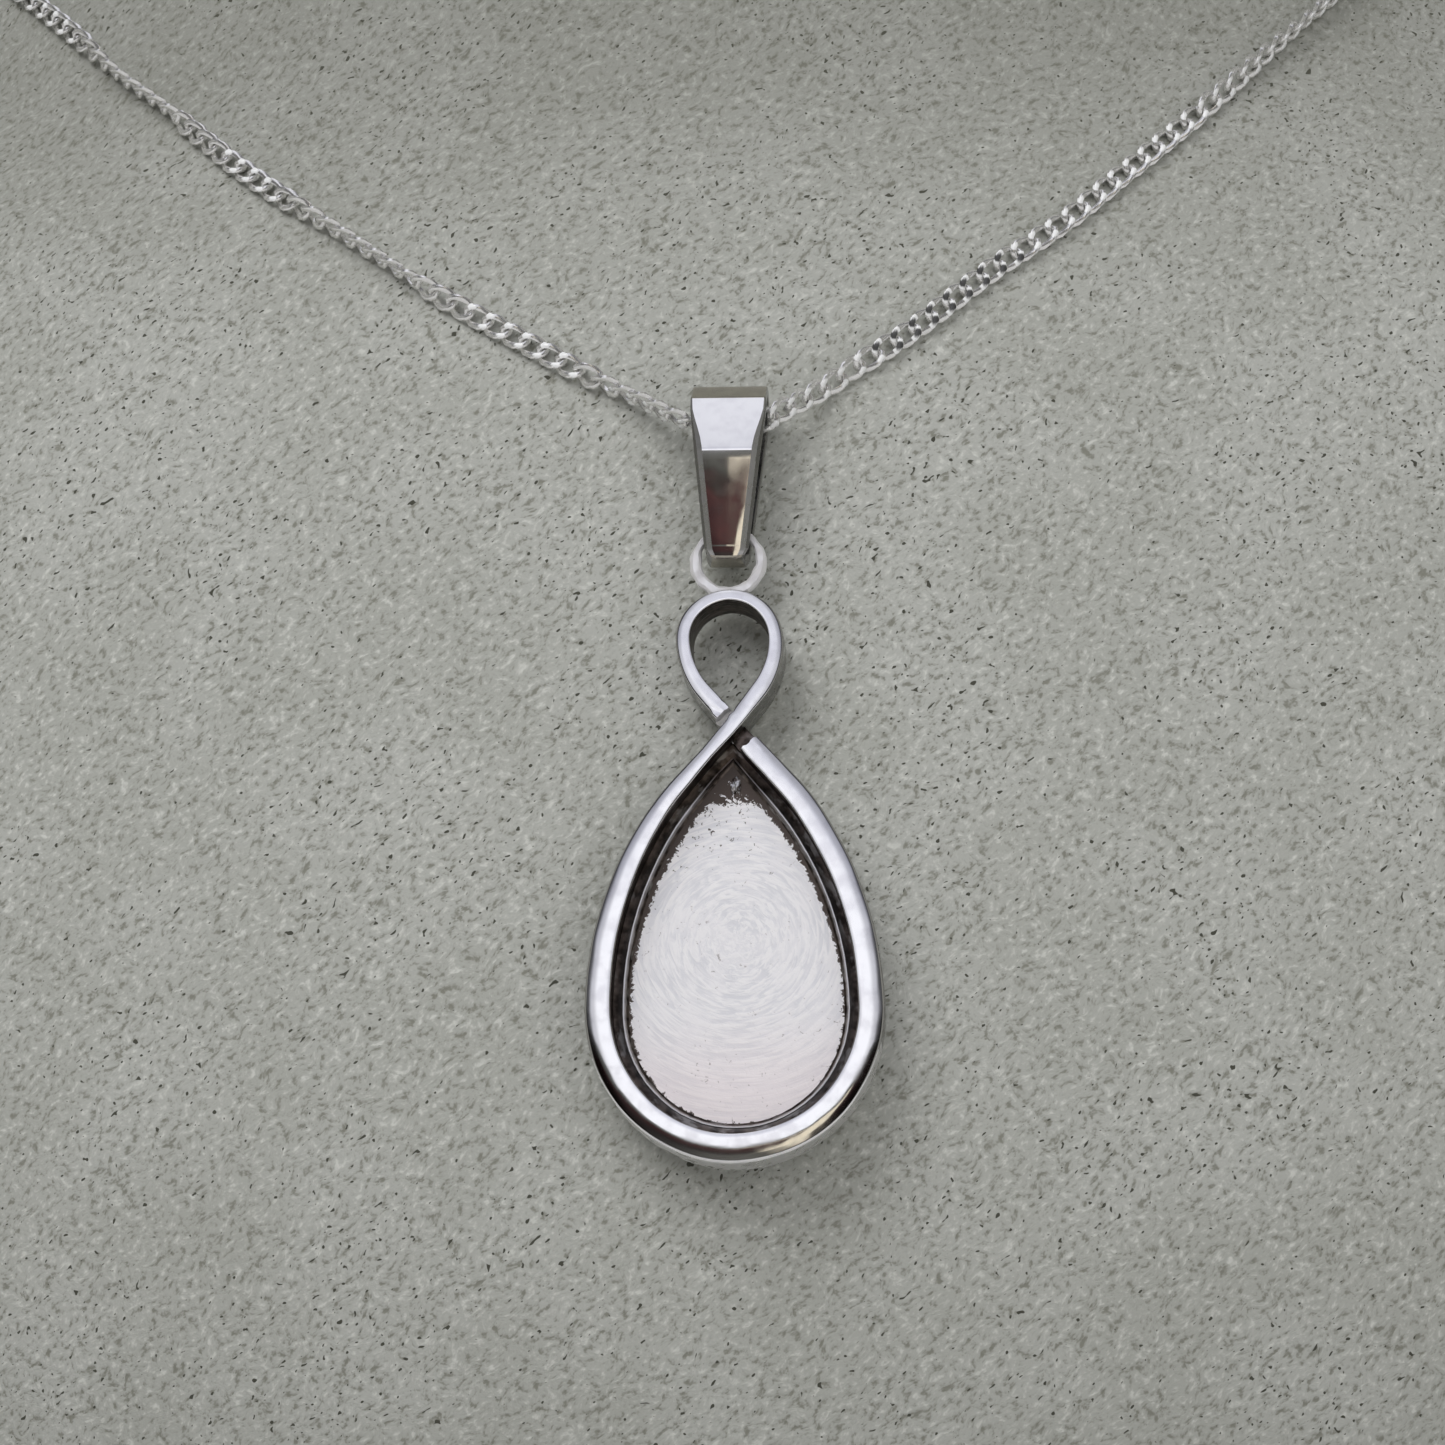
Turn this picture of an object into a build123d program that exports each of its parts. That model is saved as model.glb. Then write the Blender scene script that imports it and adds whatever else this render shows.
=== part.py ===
"""Teardrop pendant necklace on a neck bust. Millimetres, +Z up, the front faces -Y.

The origin is the middle of the bust's flat underside. Everything the chain carries is
worked out from the point where the chain passes through the bail, which is found on the
bust's own surface.
"""

from build123d import *
from math import atan2, cos, degrees, pi, radians, sin, sqrt, tan
import os

os.makedirs("parts", exist_ok=True)

# Neck bust
bust_height = 208.0
bust_width = 192.0
bust_depth = 134.0
bust_edge_rounding = 4.0

# Each row is one oval section, set by its foremost and rearmost points and its half width.
# Heights are shares of bust_height, reaches from the middle plane are shares of bust_depth,
# and half widths are shares of bust_width.
bust_sections = [
    {"front_height": 0.000, "front_reach": 0.410, "back_height": 0.000, "back_reach": 0.325, "half_width": 0.405},
    {"front_height": 0.115, "front_reach": 0.503, "back_height": 0.115, "back_reach": 0.337, "half_width": 0.440},
    {"front_height": 0.250, "front_reach": 0.566, "back_height": 0.260, "back_reach": 0.348, "half_width": 0.475},
    {"front_height": 0.375, "front_reach": 0.571, "back_height": 0.423, "back_reach": 0.358, "half_width": 0.495},
    {"front_height": 0.500, "front_reach": 0.501, "back_height": 0.585, "back_reach": 0.375, "half_width": 0.485},
    {"front_height": 0.606, "front_reach": 0.427, "back_height": 0.712, "back_reach": 0.392, "half_width": 0.416},
    {"front_height": 0.673, "front_reach": 0.382, "back_height": 0.798, "back_reach": 0.406, "half_width": 0.344},
    {"front_height": 0.760, "front_reach": 0.367, "back_height": 0.863, "back_reach": 0.410, "half_width": 0.324},
    {"front_height": 0.846, "front_reach": 0.367, "back_height": 0.915, "back_reach": 0.406, "half_width": 0.319},
    {"front_height": 0.920, "front_reach": 0.367, "back_height": 0.953, "back_reach": 0.403, "half_width": 0.317},
    {"front_height": 1.000, "front_reach": 0.367, "back_height": 1.000, "back_reach": 0.400, "half_width": 0.314},
]

# Chain and clasp
chain_width = 1.2
rest_gap = 0.3                  # clear space between the bust and what lies on it
clasp_ring_radius = 2.45        # to the middle of the bolt ring's wire
clasp_wire = 1.2
clasp_lift = 0.25               # further off the neck than rest_gap, for the neck's curve
end_ring_radius = 1.0           # to the middle of each small end ring's wire
end_ring_wire = 0.6
solder_overlap = 0.1
end_gap = 0.1                   # between each end ring and the chain's tube
run_bulge = 0.5                 # how far the neck stands out between two points of the route
corner_share = 0.45             # of the shorter run beside it, taken up by each corner

# Bail, a strap folded over the chain
bail_strap = 0.5
bail_top_radius = 1.75          # outside, round the chain
bail_tip_radius = 0.9           # outside, at the closed lower end
bail_length = 6.65              # from the top bend's middle to the tip's middle
bail_top_width = 3.85
bail_tip_width = 2.1
bail_hollow_length = 6.4        # from the top bend's middle to the middle of the hollow's lower end
bail_hollow_tip_radius = 0.52
bail_lean = 2.0                 # degrees, the tip leans to the left
bail_chain_share = 0.5          # of bail_top_width each side, where the chain runs straight
bail_edge_bevel = 0.2

# Ring, between bail and pendant
ring_radius = 1.66              # to the middle of the wire
ring_wire = 0.54
ring_drop = 7.5                 # from the chain's middle to the ring's middle
ring_sink = 0.1                 # how far solder sinks the ring into the loop's top

# Pendant: one band in a figure of eight, with a cup in its large loop
band_depth = 2.4
drop_half_width = 7.22
drop_side_radius = 18.0
band_width = 1.15
drop_inner_side_radius = 17.35
loop_half_width = 2.70
loop_side_radius = 4.84
loop_band_width = 0.73
loop_top_thickness = 0.53
hole_side_radius = 3.39
crossing_half_angle = 40.0
drop_centre_below_ring = 23.1
drop_rounding = 0.55            # outer front edge of the large loop
loop_rounding = 0.28            # outer front edge of the small loop
crossing_dip = 0.7              # how far the lower strand passes below the front
crossing_step = 0.6             # length of the dipped face each side of the upper strand
crossing_reach = 2.4            # length of each dip along the upper strand, in strand widths
ledge_depth = 0.8               # from the front to the cup's ledge
ledge_width = 0.45
plate_depth = 1.6               # from the front to the cup's floor
wall_slope_width = 0.45         # how far the cup's wall slopes in above the floor

# The chain's route, chosen by hand, from the right of the bail to the middle of the neck's back.
# bearing is in degrees round the middle axis from the front, height is a share of bust_height,
# and lift is how far the bail holds the chain off the bust, as a share of its own hold-off.
chain_right = [
    {"bearing": 5.2, "height": 0.5635, "lift": 0.75},
    {"bearing": 10.8, "height": 0.5790, "lift": 0.30},
    {"bearing": 18.6, "height": 0.6035, "lift": 0.0},
    {"bearing": 27.4, "height": 0.6325, "lift": 0.0},
    {"bearing": 37.4, "height": 0.6610, "lift": 0.0},
    {"bearing": 48.5, "height": 0.6900, "lift": 0.0},
    {"bearing": 60.5, "height": 0.7160, "lift": 0.0},
    {"bearing": 73.0, "height": 0.7390, "lift": 0.0},
    {"bearing": 86.0, "height": 0.7590, "lift": 0.0},
    {"bearing": 99.5, "height": 0.7750, "lift": 0.0},
    {"bearing": 113.5, "height": 0.7870, "lift": 0.0},
    {"bearing": 128.0, "height": 0.7950, "lift": 0.0},
    {"bearing": 142.0, "height": 0.7995, "lift": 0.0},
    {"bearing": 155.5, "height": 0.8020, "lift": 0.0},
    {"bearing": 167.5, "height": 0.8030, "lift": 0.0},
]
chain_left = [
    {"bearing": -5.2, "height": 0.5615, "lift": 0.75},
    {"bearing": -10.8, "height": 0.5755, "lift": 0.30},
    {"bearing": -18.6, "height": 0.5975, "lift": 0.0},
    {"bearing": -27.4, "height": 0.6230, "lift": 0.0},
    {"bearing": -37.4, "height": 0.6510, "lift": 0.0},
    {"bearing": -48.5, "height": 0.6810, "lift": 0.0},
    {"bearing": -60.5, "height": 0.7110, "lift": 0.0},
    {"bearing": -73.0, "height": 0.7365, "lift": 0.0},
    {"bearing": -86.0, "height": 0.7580, "lift": 0.0},
    {"bearing": -99.5, "height": 0.7750, "lift": 0.0},
    {"bearing": -113.5, "height": 0.7870, "lift": 0.0},
    {"bearing": -128.0, "height": 0.7950, "lift": 0.0},
    {"bearing": -142.0, "height": 0.7995, "lift": 0.0},
    {"bearing": -155.5, "height": 0.8020, "lift": 0.0},
    {"bearing": -167.5, "height": 0.8030, "lift": 0.0},
]
bail_height = 0.548             # where the bail lies on the chest, as a share of bust_height
clasp_height = 0.803


# Neck bust: one smooth loft through the oval sections
def section_plane(row):
    """The plane of one section, and the oval's half depth."""
    front = Vector(0, -row["front_reach"] * bust_depth, row["front_height"] * bust_height)
    back = Vector(0, row["back_reach"] * bust_depth, row["back_height"] * bust_height)
    across = back - front
    plane = Plane(origin=(front + back) / 2, x_dir=(1, 0, 0), z_dir=(0, -across.Z, across.Y))
    return plane, across.length / 2


with BuildPart() as neck_bust:
    for row in bust_sections:
        plane, half_depth = section_plane(row)
        with BuildSketch(plane):
            Ellipse(row["half_width"] * bust_width, half_depth)
    loft()
    flat_ends = neck_bust.faces().sort_by(Axis.Z)
    fillet(flat_ends[0].edges() + flat_ends[-1].edges(), bust_edge_rounding)

neck_bust.part.label = "neck_bust"
export_step(neck_bust.part, "parts/neck_bust.step")


def on_bust(bearing, height):
    """The point and outward normal of the bust's surface at a bearing and a height."""
    direction = Vector(sin(radians(bearing)), -cos(radians(bearing)), 0)
    start = Vector(0, 0, height)
    found = neck_bust.part.find_intersection_points(Axis(start, direction))
    point, normal = max(found, key=lambda item: (item[0] - start).dot(direction))
    return Vector(point), Vector(normal).normalized()


# The hang line: from the chain in the bail, just far enough forward for the pendant to clear the chest
hang_gap = bail_top_radius + rest_gap
chest, chest_normal = on_bust(0, bail_height * bust_height)
chain_point = chest + chest_normal * hang_gap
pendant_reach = ring_drop + drop_centre_below_ring + drop_half_width


def lean_past(share):
    """The lean of a line from the chain that just clears the chest at a share of the pendant's reach."""
    point, normal = on_bust(0, chain_point.Z - share * pendant_reach)
    clear = point + normal * (band_depth / 2 + rest_gap)
    return atan2(chain_point.Y - clear.Y, chain_point.Z - clear.Z)


chest_shares = [0.3, 0.4, 0.5, 0.6, 0.65, 0.7, 0.75, 0.8, 0.85, 0.9, 0.95]
lean = max(lean_past(share) for share in chest_shares)
outward = Vector(0, -cos(lean), sin(lean))
upward = Vector(0, sin(lean), cos(lean))
print("chain passes the bail at", chain_point, "lean", round(degrees(lean), 2))

hang_plane = Plane(origin=chain_point, x_dir=(1, 0, 0), z_dir=outward)
ring_side = -ring_drop * sin(radians(bail_lean))
pendant_plane = hang_plane.shift_origin(hang_plane.from_local_coords((ring_side, -ring_drop, 0)))
bail_across = Vector(1, 0, 0) * cos(radians(bail_lean)) - upward * sin(radians(bail_lean))
bail_plane = Plane(origin=chain_point, x_dir=bail_across, z_dir=outward)


# Chain: a tube along straight runs and tangent arcs, open at the clasp
tube_gap = chain_width / 2 + rest_gap
inside_bail = bail_chain_share * bail_top_width


def route_point(row):
    """A point of the chain's middle line over the bust."""
    point, normal = on_bust(row["bearing"], row["height"] * bust_height)
    held_off = (hang_gap - tube_gap) * row["lift"]
    return point + normal * (tube_gap + run_bulge + held_off)


clasp_chest, clasp_normal = on_bust(180, clasp_height * bust_height)
clasp_reach = clasp_ring_radius + 2 * end_ring_radius + clasp_wire / 2 + end_ring_wire - solder_overlap
clasp_point = clasp_chest + clasp_normal * (clasp_wire / 2 + rest_gap + clasp_lift)
clasp_side = Vector(1, 0, 0)
chain_end = clasp_point + clasp_side * (clasp_reach + end_gap)
chain_start = clasp_point - clasp_side * (clasp_reach + end_gap)

right_way = [chain_point + Vector(inside_bail, 0, 0)] + [route_point(row) for row in chain_right] + [chain_end]
left_way = [chain_point - Vector(inside_bail, 0, 0)] + [route_point(row) for row in chain_left] + [chain_start]
route = list(reversed(left_way)) + right_way


def corner_radii(points):
    """The largest radius that each corner's two runs leave room for."""
    radii = []
    for before, here, after in zip(points, points[1:], points[2:]):
        turn = radians((here - before).get_angle(after - here))
        shorter = min((here - before).length, (after - here).length)
        radii.append(corner_share * shorter / tan(turn / 2))
    return radii


chain_radii = corner_radii(route)
with BuildPart() as chain:
    with BuildLine() as chain_line:
        FilletPolyline(*route, radius=chain_radii)
    with BuildSketch(Plane(origin=chain_line.line @ 0, z_dir=chain_line.line % 0)):
        Circle(chain_width / 2)
    sweep()

chain.part.label = "chain"
export_step(chain.part, "parts/chain.step")

chain_length = sum(edge.length for edge in chain_line.edges())
print("chain radii", [round(radius, 1) for radius in chain_radii])
print("runs", [round((b - a).length, 1) for a, b in zip(route, route[1:])])
print("tube length", round(chain_length, 2), "volume over section times length",
      round(chain.part.volume / (chain_length * pi * (chain_width / 2) ** 2), 5))
print("whole loop with clasp", round(chain_length + 2 * (clasp_reach + end_gap), 1))


# Clasp: a bolt ring with a small ring soldered on each side, lying flat on the neck
clasp_plane = Plane(origin=clasp_point, x_dir=clasp_side, z_dir=clasp_normal)
end_ring_place = clasp_ring_radius + clasp_wire / 2 + end_ring_radius + end_ring_wire / 2 - solder_overlap

with BuildPart(clasp_plane) as clasp:
    Torus(clasp_ring_radius, clasp_wire / 2)
    with Locations((end_ring_place, 0, 0), (-end_ring_place, 0, 0)):
        Torus(end_ring_radius, end_ring_wire / 2)

clasp.part.label = "clasp"
export_step(clasp.part, "parts/clasp.step")


# Bail: a strap folded over the chain, its legs closed at the lower end
def folded_outline(top_radius, tip_radius, spacing):
    """The filled outline round two circles, the larger at the origin and the smaller below it."""
    slope = atan2(top_radius - tip_radius, sqrt(spacing**2 - (top_radius - tip_radius) ** 2))
    top_touch = (top_radius * cos(slope), -top_radius * sin(slope))
    tip_touch = (tip_radius * cos(slope), -spacing - tip_radius * sin(slope))
    with BuildSketch() as outline:
        with BuildLine():
            ThreePointArc(top_touch, (0, top_radius), (-top_touch[0], top_touch[1]))
            Line((-top_touch[0], top_touch[1]), (-tip_touch[0], tip_touch[1]))
            ThreePointArc((-tip_touch[0], tip_touch[1]), (0, -spacing - tip_radius), tip_touch)
            Line(tip_touch, top_touch)
        make_face()
    return outline.sketch


bail_side = Plane(origin=chain_point, x_dir=bail_plane.z_dir, z_dir=-bail_plane.x_dir)
bail_outside = folded_outline(bail_top_radius, bail_tip_radius, bail_length)
bail_hollow = folded_outline(bail_top_radius - bail_strap, bail_hollow_tip_radius, bail_hollow_length)
bail_foot = -bail_length - bail_tip_radius

with BuildPart() as bail:
    with BuildSketch(bail_side):
        add(bail_outside)
    extrude(amount=bail_top_width / 2, both=True)
    rim_edges = bail.edges().filter_by(lambda edge: abs(bail_plane.to_local_coords(edge.center()).X) > 0.1)
    chamfer(rim_edges, bail_edge_bevel)
    with BuildSketch(bail_plane):
        with BuildLine():
            Polyline(
                (-bail_top_width / 2, bail_top_radius), (bail_top_width / 2, bail_top_radius),
                (bail_top_width / 2, 0), (bail_tip_width / 2, bail_foot),
                (-bail_tip_width / 2, bail_foot), (-bail_top_width / 2, 0), close=True)
        make_face()
    extrude(amount=bail_top_radius, both=True, mode=Mode.INTERSECT)
    with BuildSketch(bail_side):
        add(bail_hollow)
    extrude(amount=bail_top_width, both=True, mode=Mode.SUBTRACT)

bail.part.label = "bail"
export_step(bail.part, "parts/bail.step")


# Pendant outlines: each is a round end, two side arcs and two straight flanks that meet in a point
def drop_point(centre, end_radius, side_radius, way):
    """Height of the point of a drop outline; way is 1 where the point is above the round end."""
    turn = radians(crossing_half_angle)
    flank_foot = end_radius - side_radius * (1 - cos(turn))
    return centre + way * (side_radius * sin(turn) + flank_foot / tan(turn))


def drop_outline(centre, end_radius, side_radius, way):
    """The filled drop outline with its round end's middle at a height on the middle line."""
    turn = radians(crossing_half_angle)
    foot = (end_radius - side_radius * (1 - cos(turn)), centre + way * side_radius * sin(turn))
    half = turn / 2
    middle = (end_radius - side_radius * (1 - cos(half)), centre + way * side_radius * sin(half))
    tip = (0, drop_point(centre, end_radius, side_radius, way))
    with BuildSketch() as outline:
        with BuildLine():
            ThreePointArc((end_radius, centre), (0, centre - way * end_radius), (-end_radius, centre))
            ThreePointArc((-end_radius, centre), (-middle[0], middle[1]), (-foot[0], foot[1]))
            Line((-foot[0], foot[1]), tip)
            Line(tip, foot)
            ThreePointArc(foot, middle, (end_radius, centre))
        make_face()
    return outline.sketch


drop_centre = -drop_centre_below_ring
loop_top = -(ring_radius + ring_wire / 2 - ring_sink)
loop_centre = loop_top - loop_half_width
hole_half_width = loop_half_width - loop_band_width
hole_centre = loop_top - loop_top_thickness - hole_half_width
cup_half_width = drop_half_width - band_width
ledge_half_width = cup_half_width - ledge_width
floor_half_width = ledge_half_width - wall_slope_width

drop_outside = drop_outline(drop_centre, drop_half_width, drop_side_radius, 1)
cup_opening = drop_outline(drop_centre, cup_half_width, drop_inner_side_radius, 1)
ledge_opening = drop_outline(drop_centre, ledge_half_width, drop_inner_side_radius, 1)
cup_floor = drop_outline(drop_centre, floor_half_width, drop_inner_side_radius, 1)
loop_outside = drop_outline(loop_centre, loop_half_width, loop_side_radius, -1)
loop_hole = drop_outline(hole_centre, hole_half_width, hole_side_radius, -1)

drop_tip = drop_point(drop_centre, drop_half_width, drop_side_radius, 1)
cup_tip = drop_point(drop_centre, cup_half_width, drop_inner_side_radius, 1)
loop_tip = drop_point(loop_centre, loop_half_width, loop_side_radius, -1)
hole_tip = drop_point(hole_centre, hole_half_width, hole_side_radius, -1)
print("points: drop", round(drop_tip, 2), "cup", round(cup_tip, 2),
      "loop", round(loop_tip, 2), "hole", round(hole_tip, 2))

front = band_depth / 2
back_plane = pendant_plane.offset(-front)
pendant_axis = Axis(pendant_plane.origin, pendant_plane.z_dir)

# The small loop's outside, made apart so that its own front edge can be rounded
with BuildPart() as small_loop:
    with BuildSketch(back_plane):
        add(loop_outside)
    extrude(amount=band_depth)
    fillet(small_loop.faces().sort_by(pendant_axis)[-1].edges(), loop_rounding)

# The upper strand runs from the loop's right to the drop's left; the lower strand dips beside it
crossing_middle = (hole_tip + cup_tip) / 2
strand_width = (hole_tip - cup_tip) * sin(radians(crossing_half_angle))

with BuildPart() as pendant:
    with BuildSketch(back_plane):
        add(drop_outside)
    extrude(amount=band_depth)
    fillet(pendant.faces().sort_by(pendant_axis)[-1].edges(), drop_rounding)
    add(small_loop.part)
    with BuildSketch(back_plane):
        add(loop_hole)
    extrude(amount=band_depth, mode=Mode.SUBTRACT)
    with BuildSketch(pendant_plane.offset(front - crossing_dip)):
        with Locations((0, crossing_middle)):
            with PolarLocations((strand_width + crossing_step) / 2, 2, 180 - crossing_half_angle):
                Rectangle(crossing_step, crossing_reach * strand_width)
    extrude(amount=crossing_dip, mode=Mode.SUBTRACT)
    # The cup: open to the ledge, then a wall that slopes in to the floor
    with BuildSketch(pendant_plane.offset(front - ledge_depth)):
        add(cup_opening)
    extrude(amount=ledge_depth, mode=Mode.SUBTRACT)
    with BuildSketch(pendant_plane.offset(front - ledge_depth)):
        add(ledge_opening)
    with BuildSketch(pendant_plane.offset(front - plate_depth)):
        add(cup_floor)
    loft(ruled=True, mode=Mode.SUBTRACT)
    # The ring, soldered to the small loop's top
    with Locations(pendant_plane):
        Torus(ring_radius, ring_wire / 2)

pendant.part.label = "pendant"
export_step(pendant.part, "parts/pendant.step")
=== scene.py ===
# %% [markdown]
# # A silver teardrop pendant on a neck bust
# A fine curb chain lies round a suede display bust. A folded strap bail hangs on it, and in the
# bail a small ring carries the pendant: one silver strip bent into a figure of eight, whose large
# loop is a cup with a ledge and a brushed floor. The CAD model fixes every size and place. This
# lesson gives each piece the shape and the finish that a close look shows. Small unevenness comes
# from noise, and a seed makes it the same in every run.

from math import atan2, ceil, cos, degrees, exp, pi, radians, sin, tan

import bmesh
import bpy
from mathutils import Matrix, Quaternion, Vector, noise
from mathutils.bvhtree import BVHTree


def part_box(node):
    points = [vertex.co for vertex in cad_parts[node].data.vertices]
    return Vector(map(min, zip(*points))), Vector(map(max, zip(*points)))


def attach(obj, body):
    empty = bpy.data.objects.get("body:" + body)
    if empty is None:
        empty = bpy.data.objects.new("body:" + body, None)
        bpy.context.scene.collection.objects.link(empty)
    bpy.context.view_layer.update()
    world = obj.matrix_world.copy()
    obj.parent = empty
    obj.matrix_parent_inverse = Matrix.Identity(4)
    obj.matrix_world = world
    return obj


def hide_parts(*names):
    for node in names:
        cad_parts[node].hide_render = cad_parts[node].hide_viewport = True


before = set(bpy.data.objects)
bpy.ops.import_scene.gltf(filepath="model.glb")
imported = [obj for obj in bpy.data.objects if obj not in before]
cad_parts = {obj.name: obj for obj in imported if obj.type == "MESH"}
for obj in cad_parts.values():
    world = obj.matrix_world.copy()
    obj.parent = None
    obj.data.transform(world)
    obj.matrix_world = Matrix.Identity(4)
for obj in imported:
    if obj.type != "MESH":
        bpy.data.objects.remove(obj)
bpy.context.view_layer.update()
MM = 0.001
noise_seed = 7
noise.seed_set(noise_seed)

# %% [markdown]
# ## Where the necklace hangs
# The bail and the pendant hang in one leaning plane, which starts where the chain passes through
# the bail. They could be modelled in place, but every line would then be slanted. It is easier to
# model them flat, in millimetres, and to lay each one down with a single matrix. Local X runs
# across the plane, Y up it and Z out of it.

# %% The hang plane
chain_point = Vector((0.0, -64.659, 114.798)) * MM     # the chain's middle inside the bail
lean = radians(21.914)                                 # how far the plane leans back
bail_lean = radians(2.0)                               # the bail hangs a little askew
ring_side, ring_drop = -0.262, 7.5                     # the ring's middle, down from the chain
hang_place = (Matrix.Translation(chain_point) @ Matrix.Rotation(pi / 2 - lean, 4, "X")
              @ Matrix.Scale(MM, 4))
pendant_place = hang_place @ Matrix.Translation((ring_side, -ring_drop, 0))
bail_place = hang_place @ Matrix.Rotation(-bail_lean, 4, "Z")
print("plane leans back", round(degrees(lean), 2), "degrees")

# %% [markdown]
# ## The camera
# The photograph is a close view from a little below the plane's own normal, turned by a few
# degrees. A camera could be placed by hand, but one that looks at a point of the same plane, from
# a distance and two angles, stays tied to the pendant. The lens is given in pixels of the picture.

# %% Camera
FRAME, focal_pixels, sensor = 1445, 3200, 36.0
camera_distance = 160 * MM
bearing, rise, camera_roll = radians(4.0), radians(5.6), radians(-2.5)
target = hang_place @ Vector((-0.642, -16.064, 0.0))
backward = Vector((sin(bearing) * cos(rise), -cos(bearing) * cos(rise), sin(rise)))
camera = bpy.data.objects.new("camera", bpy.data.cameras.new("camera"))
bpy.context.scene.collection.objects.link(camera)
camera.location = target + backward * camera_distance
camera.rotation_mode = "QUATERNION"
camera.rotation_quaternion = ((-backward).to_track_quat("-Z", "Y")
                              @ Quaternion((0, 0, 1), camera_roll))
camera.data.sensor_width = sensor
camera.data.lens = sensor * focal_pixels / FRAME
camera.data.clip_start = 0.005
camera.data.clip_end = 20
bpy.context.scene.camera = camera
print("camera at", [round(value, 4) for value in camera.location],
      "lens", round(camera.data.lens, 1))

# %% [markdown]
# ## Materials: a few small helpers
# A procedural material is a chain of nodes. These helpers add one node, set its values and link
# it, so that each recipe below reads as a short list of steps. Patterns use Object coordinates,
# because those stay on the piece, and a Mapping node turns them into its own millimetres.


# %% Node helpers
def new_material(name):
    """An empty node material, with its shader and the pattern coordinates in metres."""
    material = bpy.data.materials.new(name)
    material.use_nodes = True
    tree = material.node_tree
    coordinates = tree.nodes.new("ShaderNodeTexCoord")
    return material, tree, tree.nodes["Principled BSDF"], coordinates.outputs["Object"]


def add_node(tree, kind, settings=None, values=None, links=None):
    """One node with its settings, unlinked values and incoming links."""
    node = tree.nodes.new(kind)
    for key, value in (settings or {}).items():
        setattr(node, key, value)
    for key, value in (values or {}).items():
        node.inputs[key].default_value = value
    for key, source in (links or {}).items():
        tree.links.new(source, node.inputs[key])
    return node


def local_millimetres(tree, position, place):
    """Object coordinates turned into the millimetres of a leaning plane."""
    node = add_node(tree, "ShaderNodeMapping", {"vector_type": "TEXTURE"},
                    {"Location": place.to_translation(), "Rotation": place.to_euler(),
                     "Scale": (MM, MM, MM)}, {"Vector": position})
    return node.outputs["Vector"]


def attribute_value(tree, name):
    """A number that the piece stores at each of its points."""
    return add_node(tree, "ShaderNodeAttribute", {"attribute_name": name}).outputs["Fac"]


print("node helpers ready")


# %% Pattern helpers
def noise_value(tree, position, scale, detail=2.0, roughness=0.5, distortion=0.0):
    """Soft noise from 0 to 1; scale is in blotches per unit of the position."""
    values = {"Scale": scale, "Detail": detail, "Roughness": roughness, "Distortion": distortion}
    return add_node(tree, "ShaderNodeTexNoise", values=values,
                    links={"Vector": position}).outputs["Fac"]


def ramp(tree, value, low, high, start=0.0, end=1.0, smooth=True):
    """A value stretched so that low gives start and high gives end, and clamped."""
    node = add_node(tree, "ShaderNodeMapRange",
                    {"interpolation_type": "SMOOTHSTEP" if smooth else "LINEAR"},
                    {"From Min": low, "From Max": high, "To Min": start, "To Max": end},
                    {"Value": value})
    return node.outputs["Result"]


def math_node(tree, operation, first, second=None):
    """One sum; a plain number is set on the socket and anything else is linked."""
    node = add_node(tree, "ShaderNodeMath", {"operation": operation})
    for index, item in enumerate((first, second)):
        if isinstance(item, (int, float)):
            node.inputs[index].default_value = item
        elif item is not None:
            tree.links.new(item, node.inputs[index])
    return node.outputs[0]


def bump(tree, height, distance, strength=1.0, below=None):
    """A bump from a height of 0 to 1, so many metres deep, laid over another one."""
    node = add_node(tree, "ShaderNodeBump", values={"Distance": distance, "Strength": strength},
                    links={"Height": height})
    if below is not None:
        tree.links.new(below, node.inputs["Normal"])
    return node.outputs["Normal"]


print("pattern helpers ready")


# %% Colour helpers
def mix_colour(tree, share, first, second, blend="MIX"):
    """Two colours mixed by a share; each is four numbers or a socket."""
    node = add_node(tree, "ShaderNodeMix", {"data_type": "RGBA", "blend_type": blend})
    for index, item in ((6, first), (7, second), (0, share)):
        if isinstance(item, (tuple, int, float)):
            node.inputs[index].default_value = item
        else:
            tree.links.new(item, node.inputs[index])
    return node.outputs[2]


def colour_ramp(tree, value, stops):
    """A colour for each value from 0 to 1; a stop is its place and three colour numbers."""
    node = add_node(tree, "ShaderNodeValToRGB", links={0: value})
    while len(node.color_ramp.elements) < len(stops):
        node.color_ramp.elements.new(0.5)
    for element, (place, red, green, blue) in zip(node.color_ramp.elements, stops):
        element.position = place
        element.color = (red, green, blue, 1.0)
    return node.outputs[0]


print("colour helpers ready")

# %% [markdown]
# ## Light
# Polished silver shows what stands round it, so the surroundings matter more than the lamps. A
# picture of a room could be wrapped round the scene, but two ramps are enough, and each bright or
# dark place then moves with one number. A tall bright window stands in the middle, above a dim
# room, and the walls beside it are dark and turn grey further out. The direction of each ray gives
# its colour: Z is its height and X its side.

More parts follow.
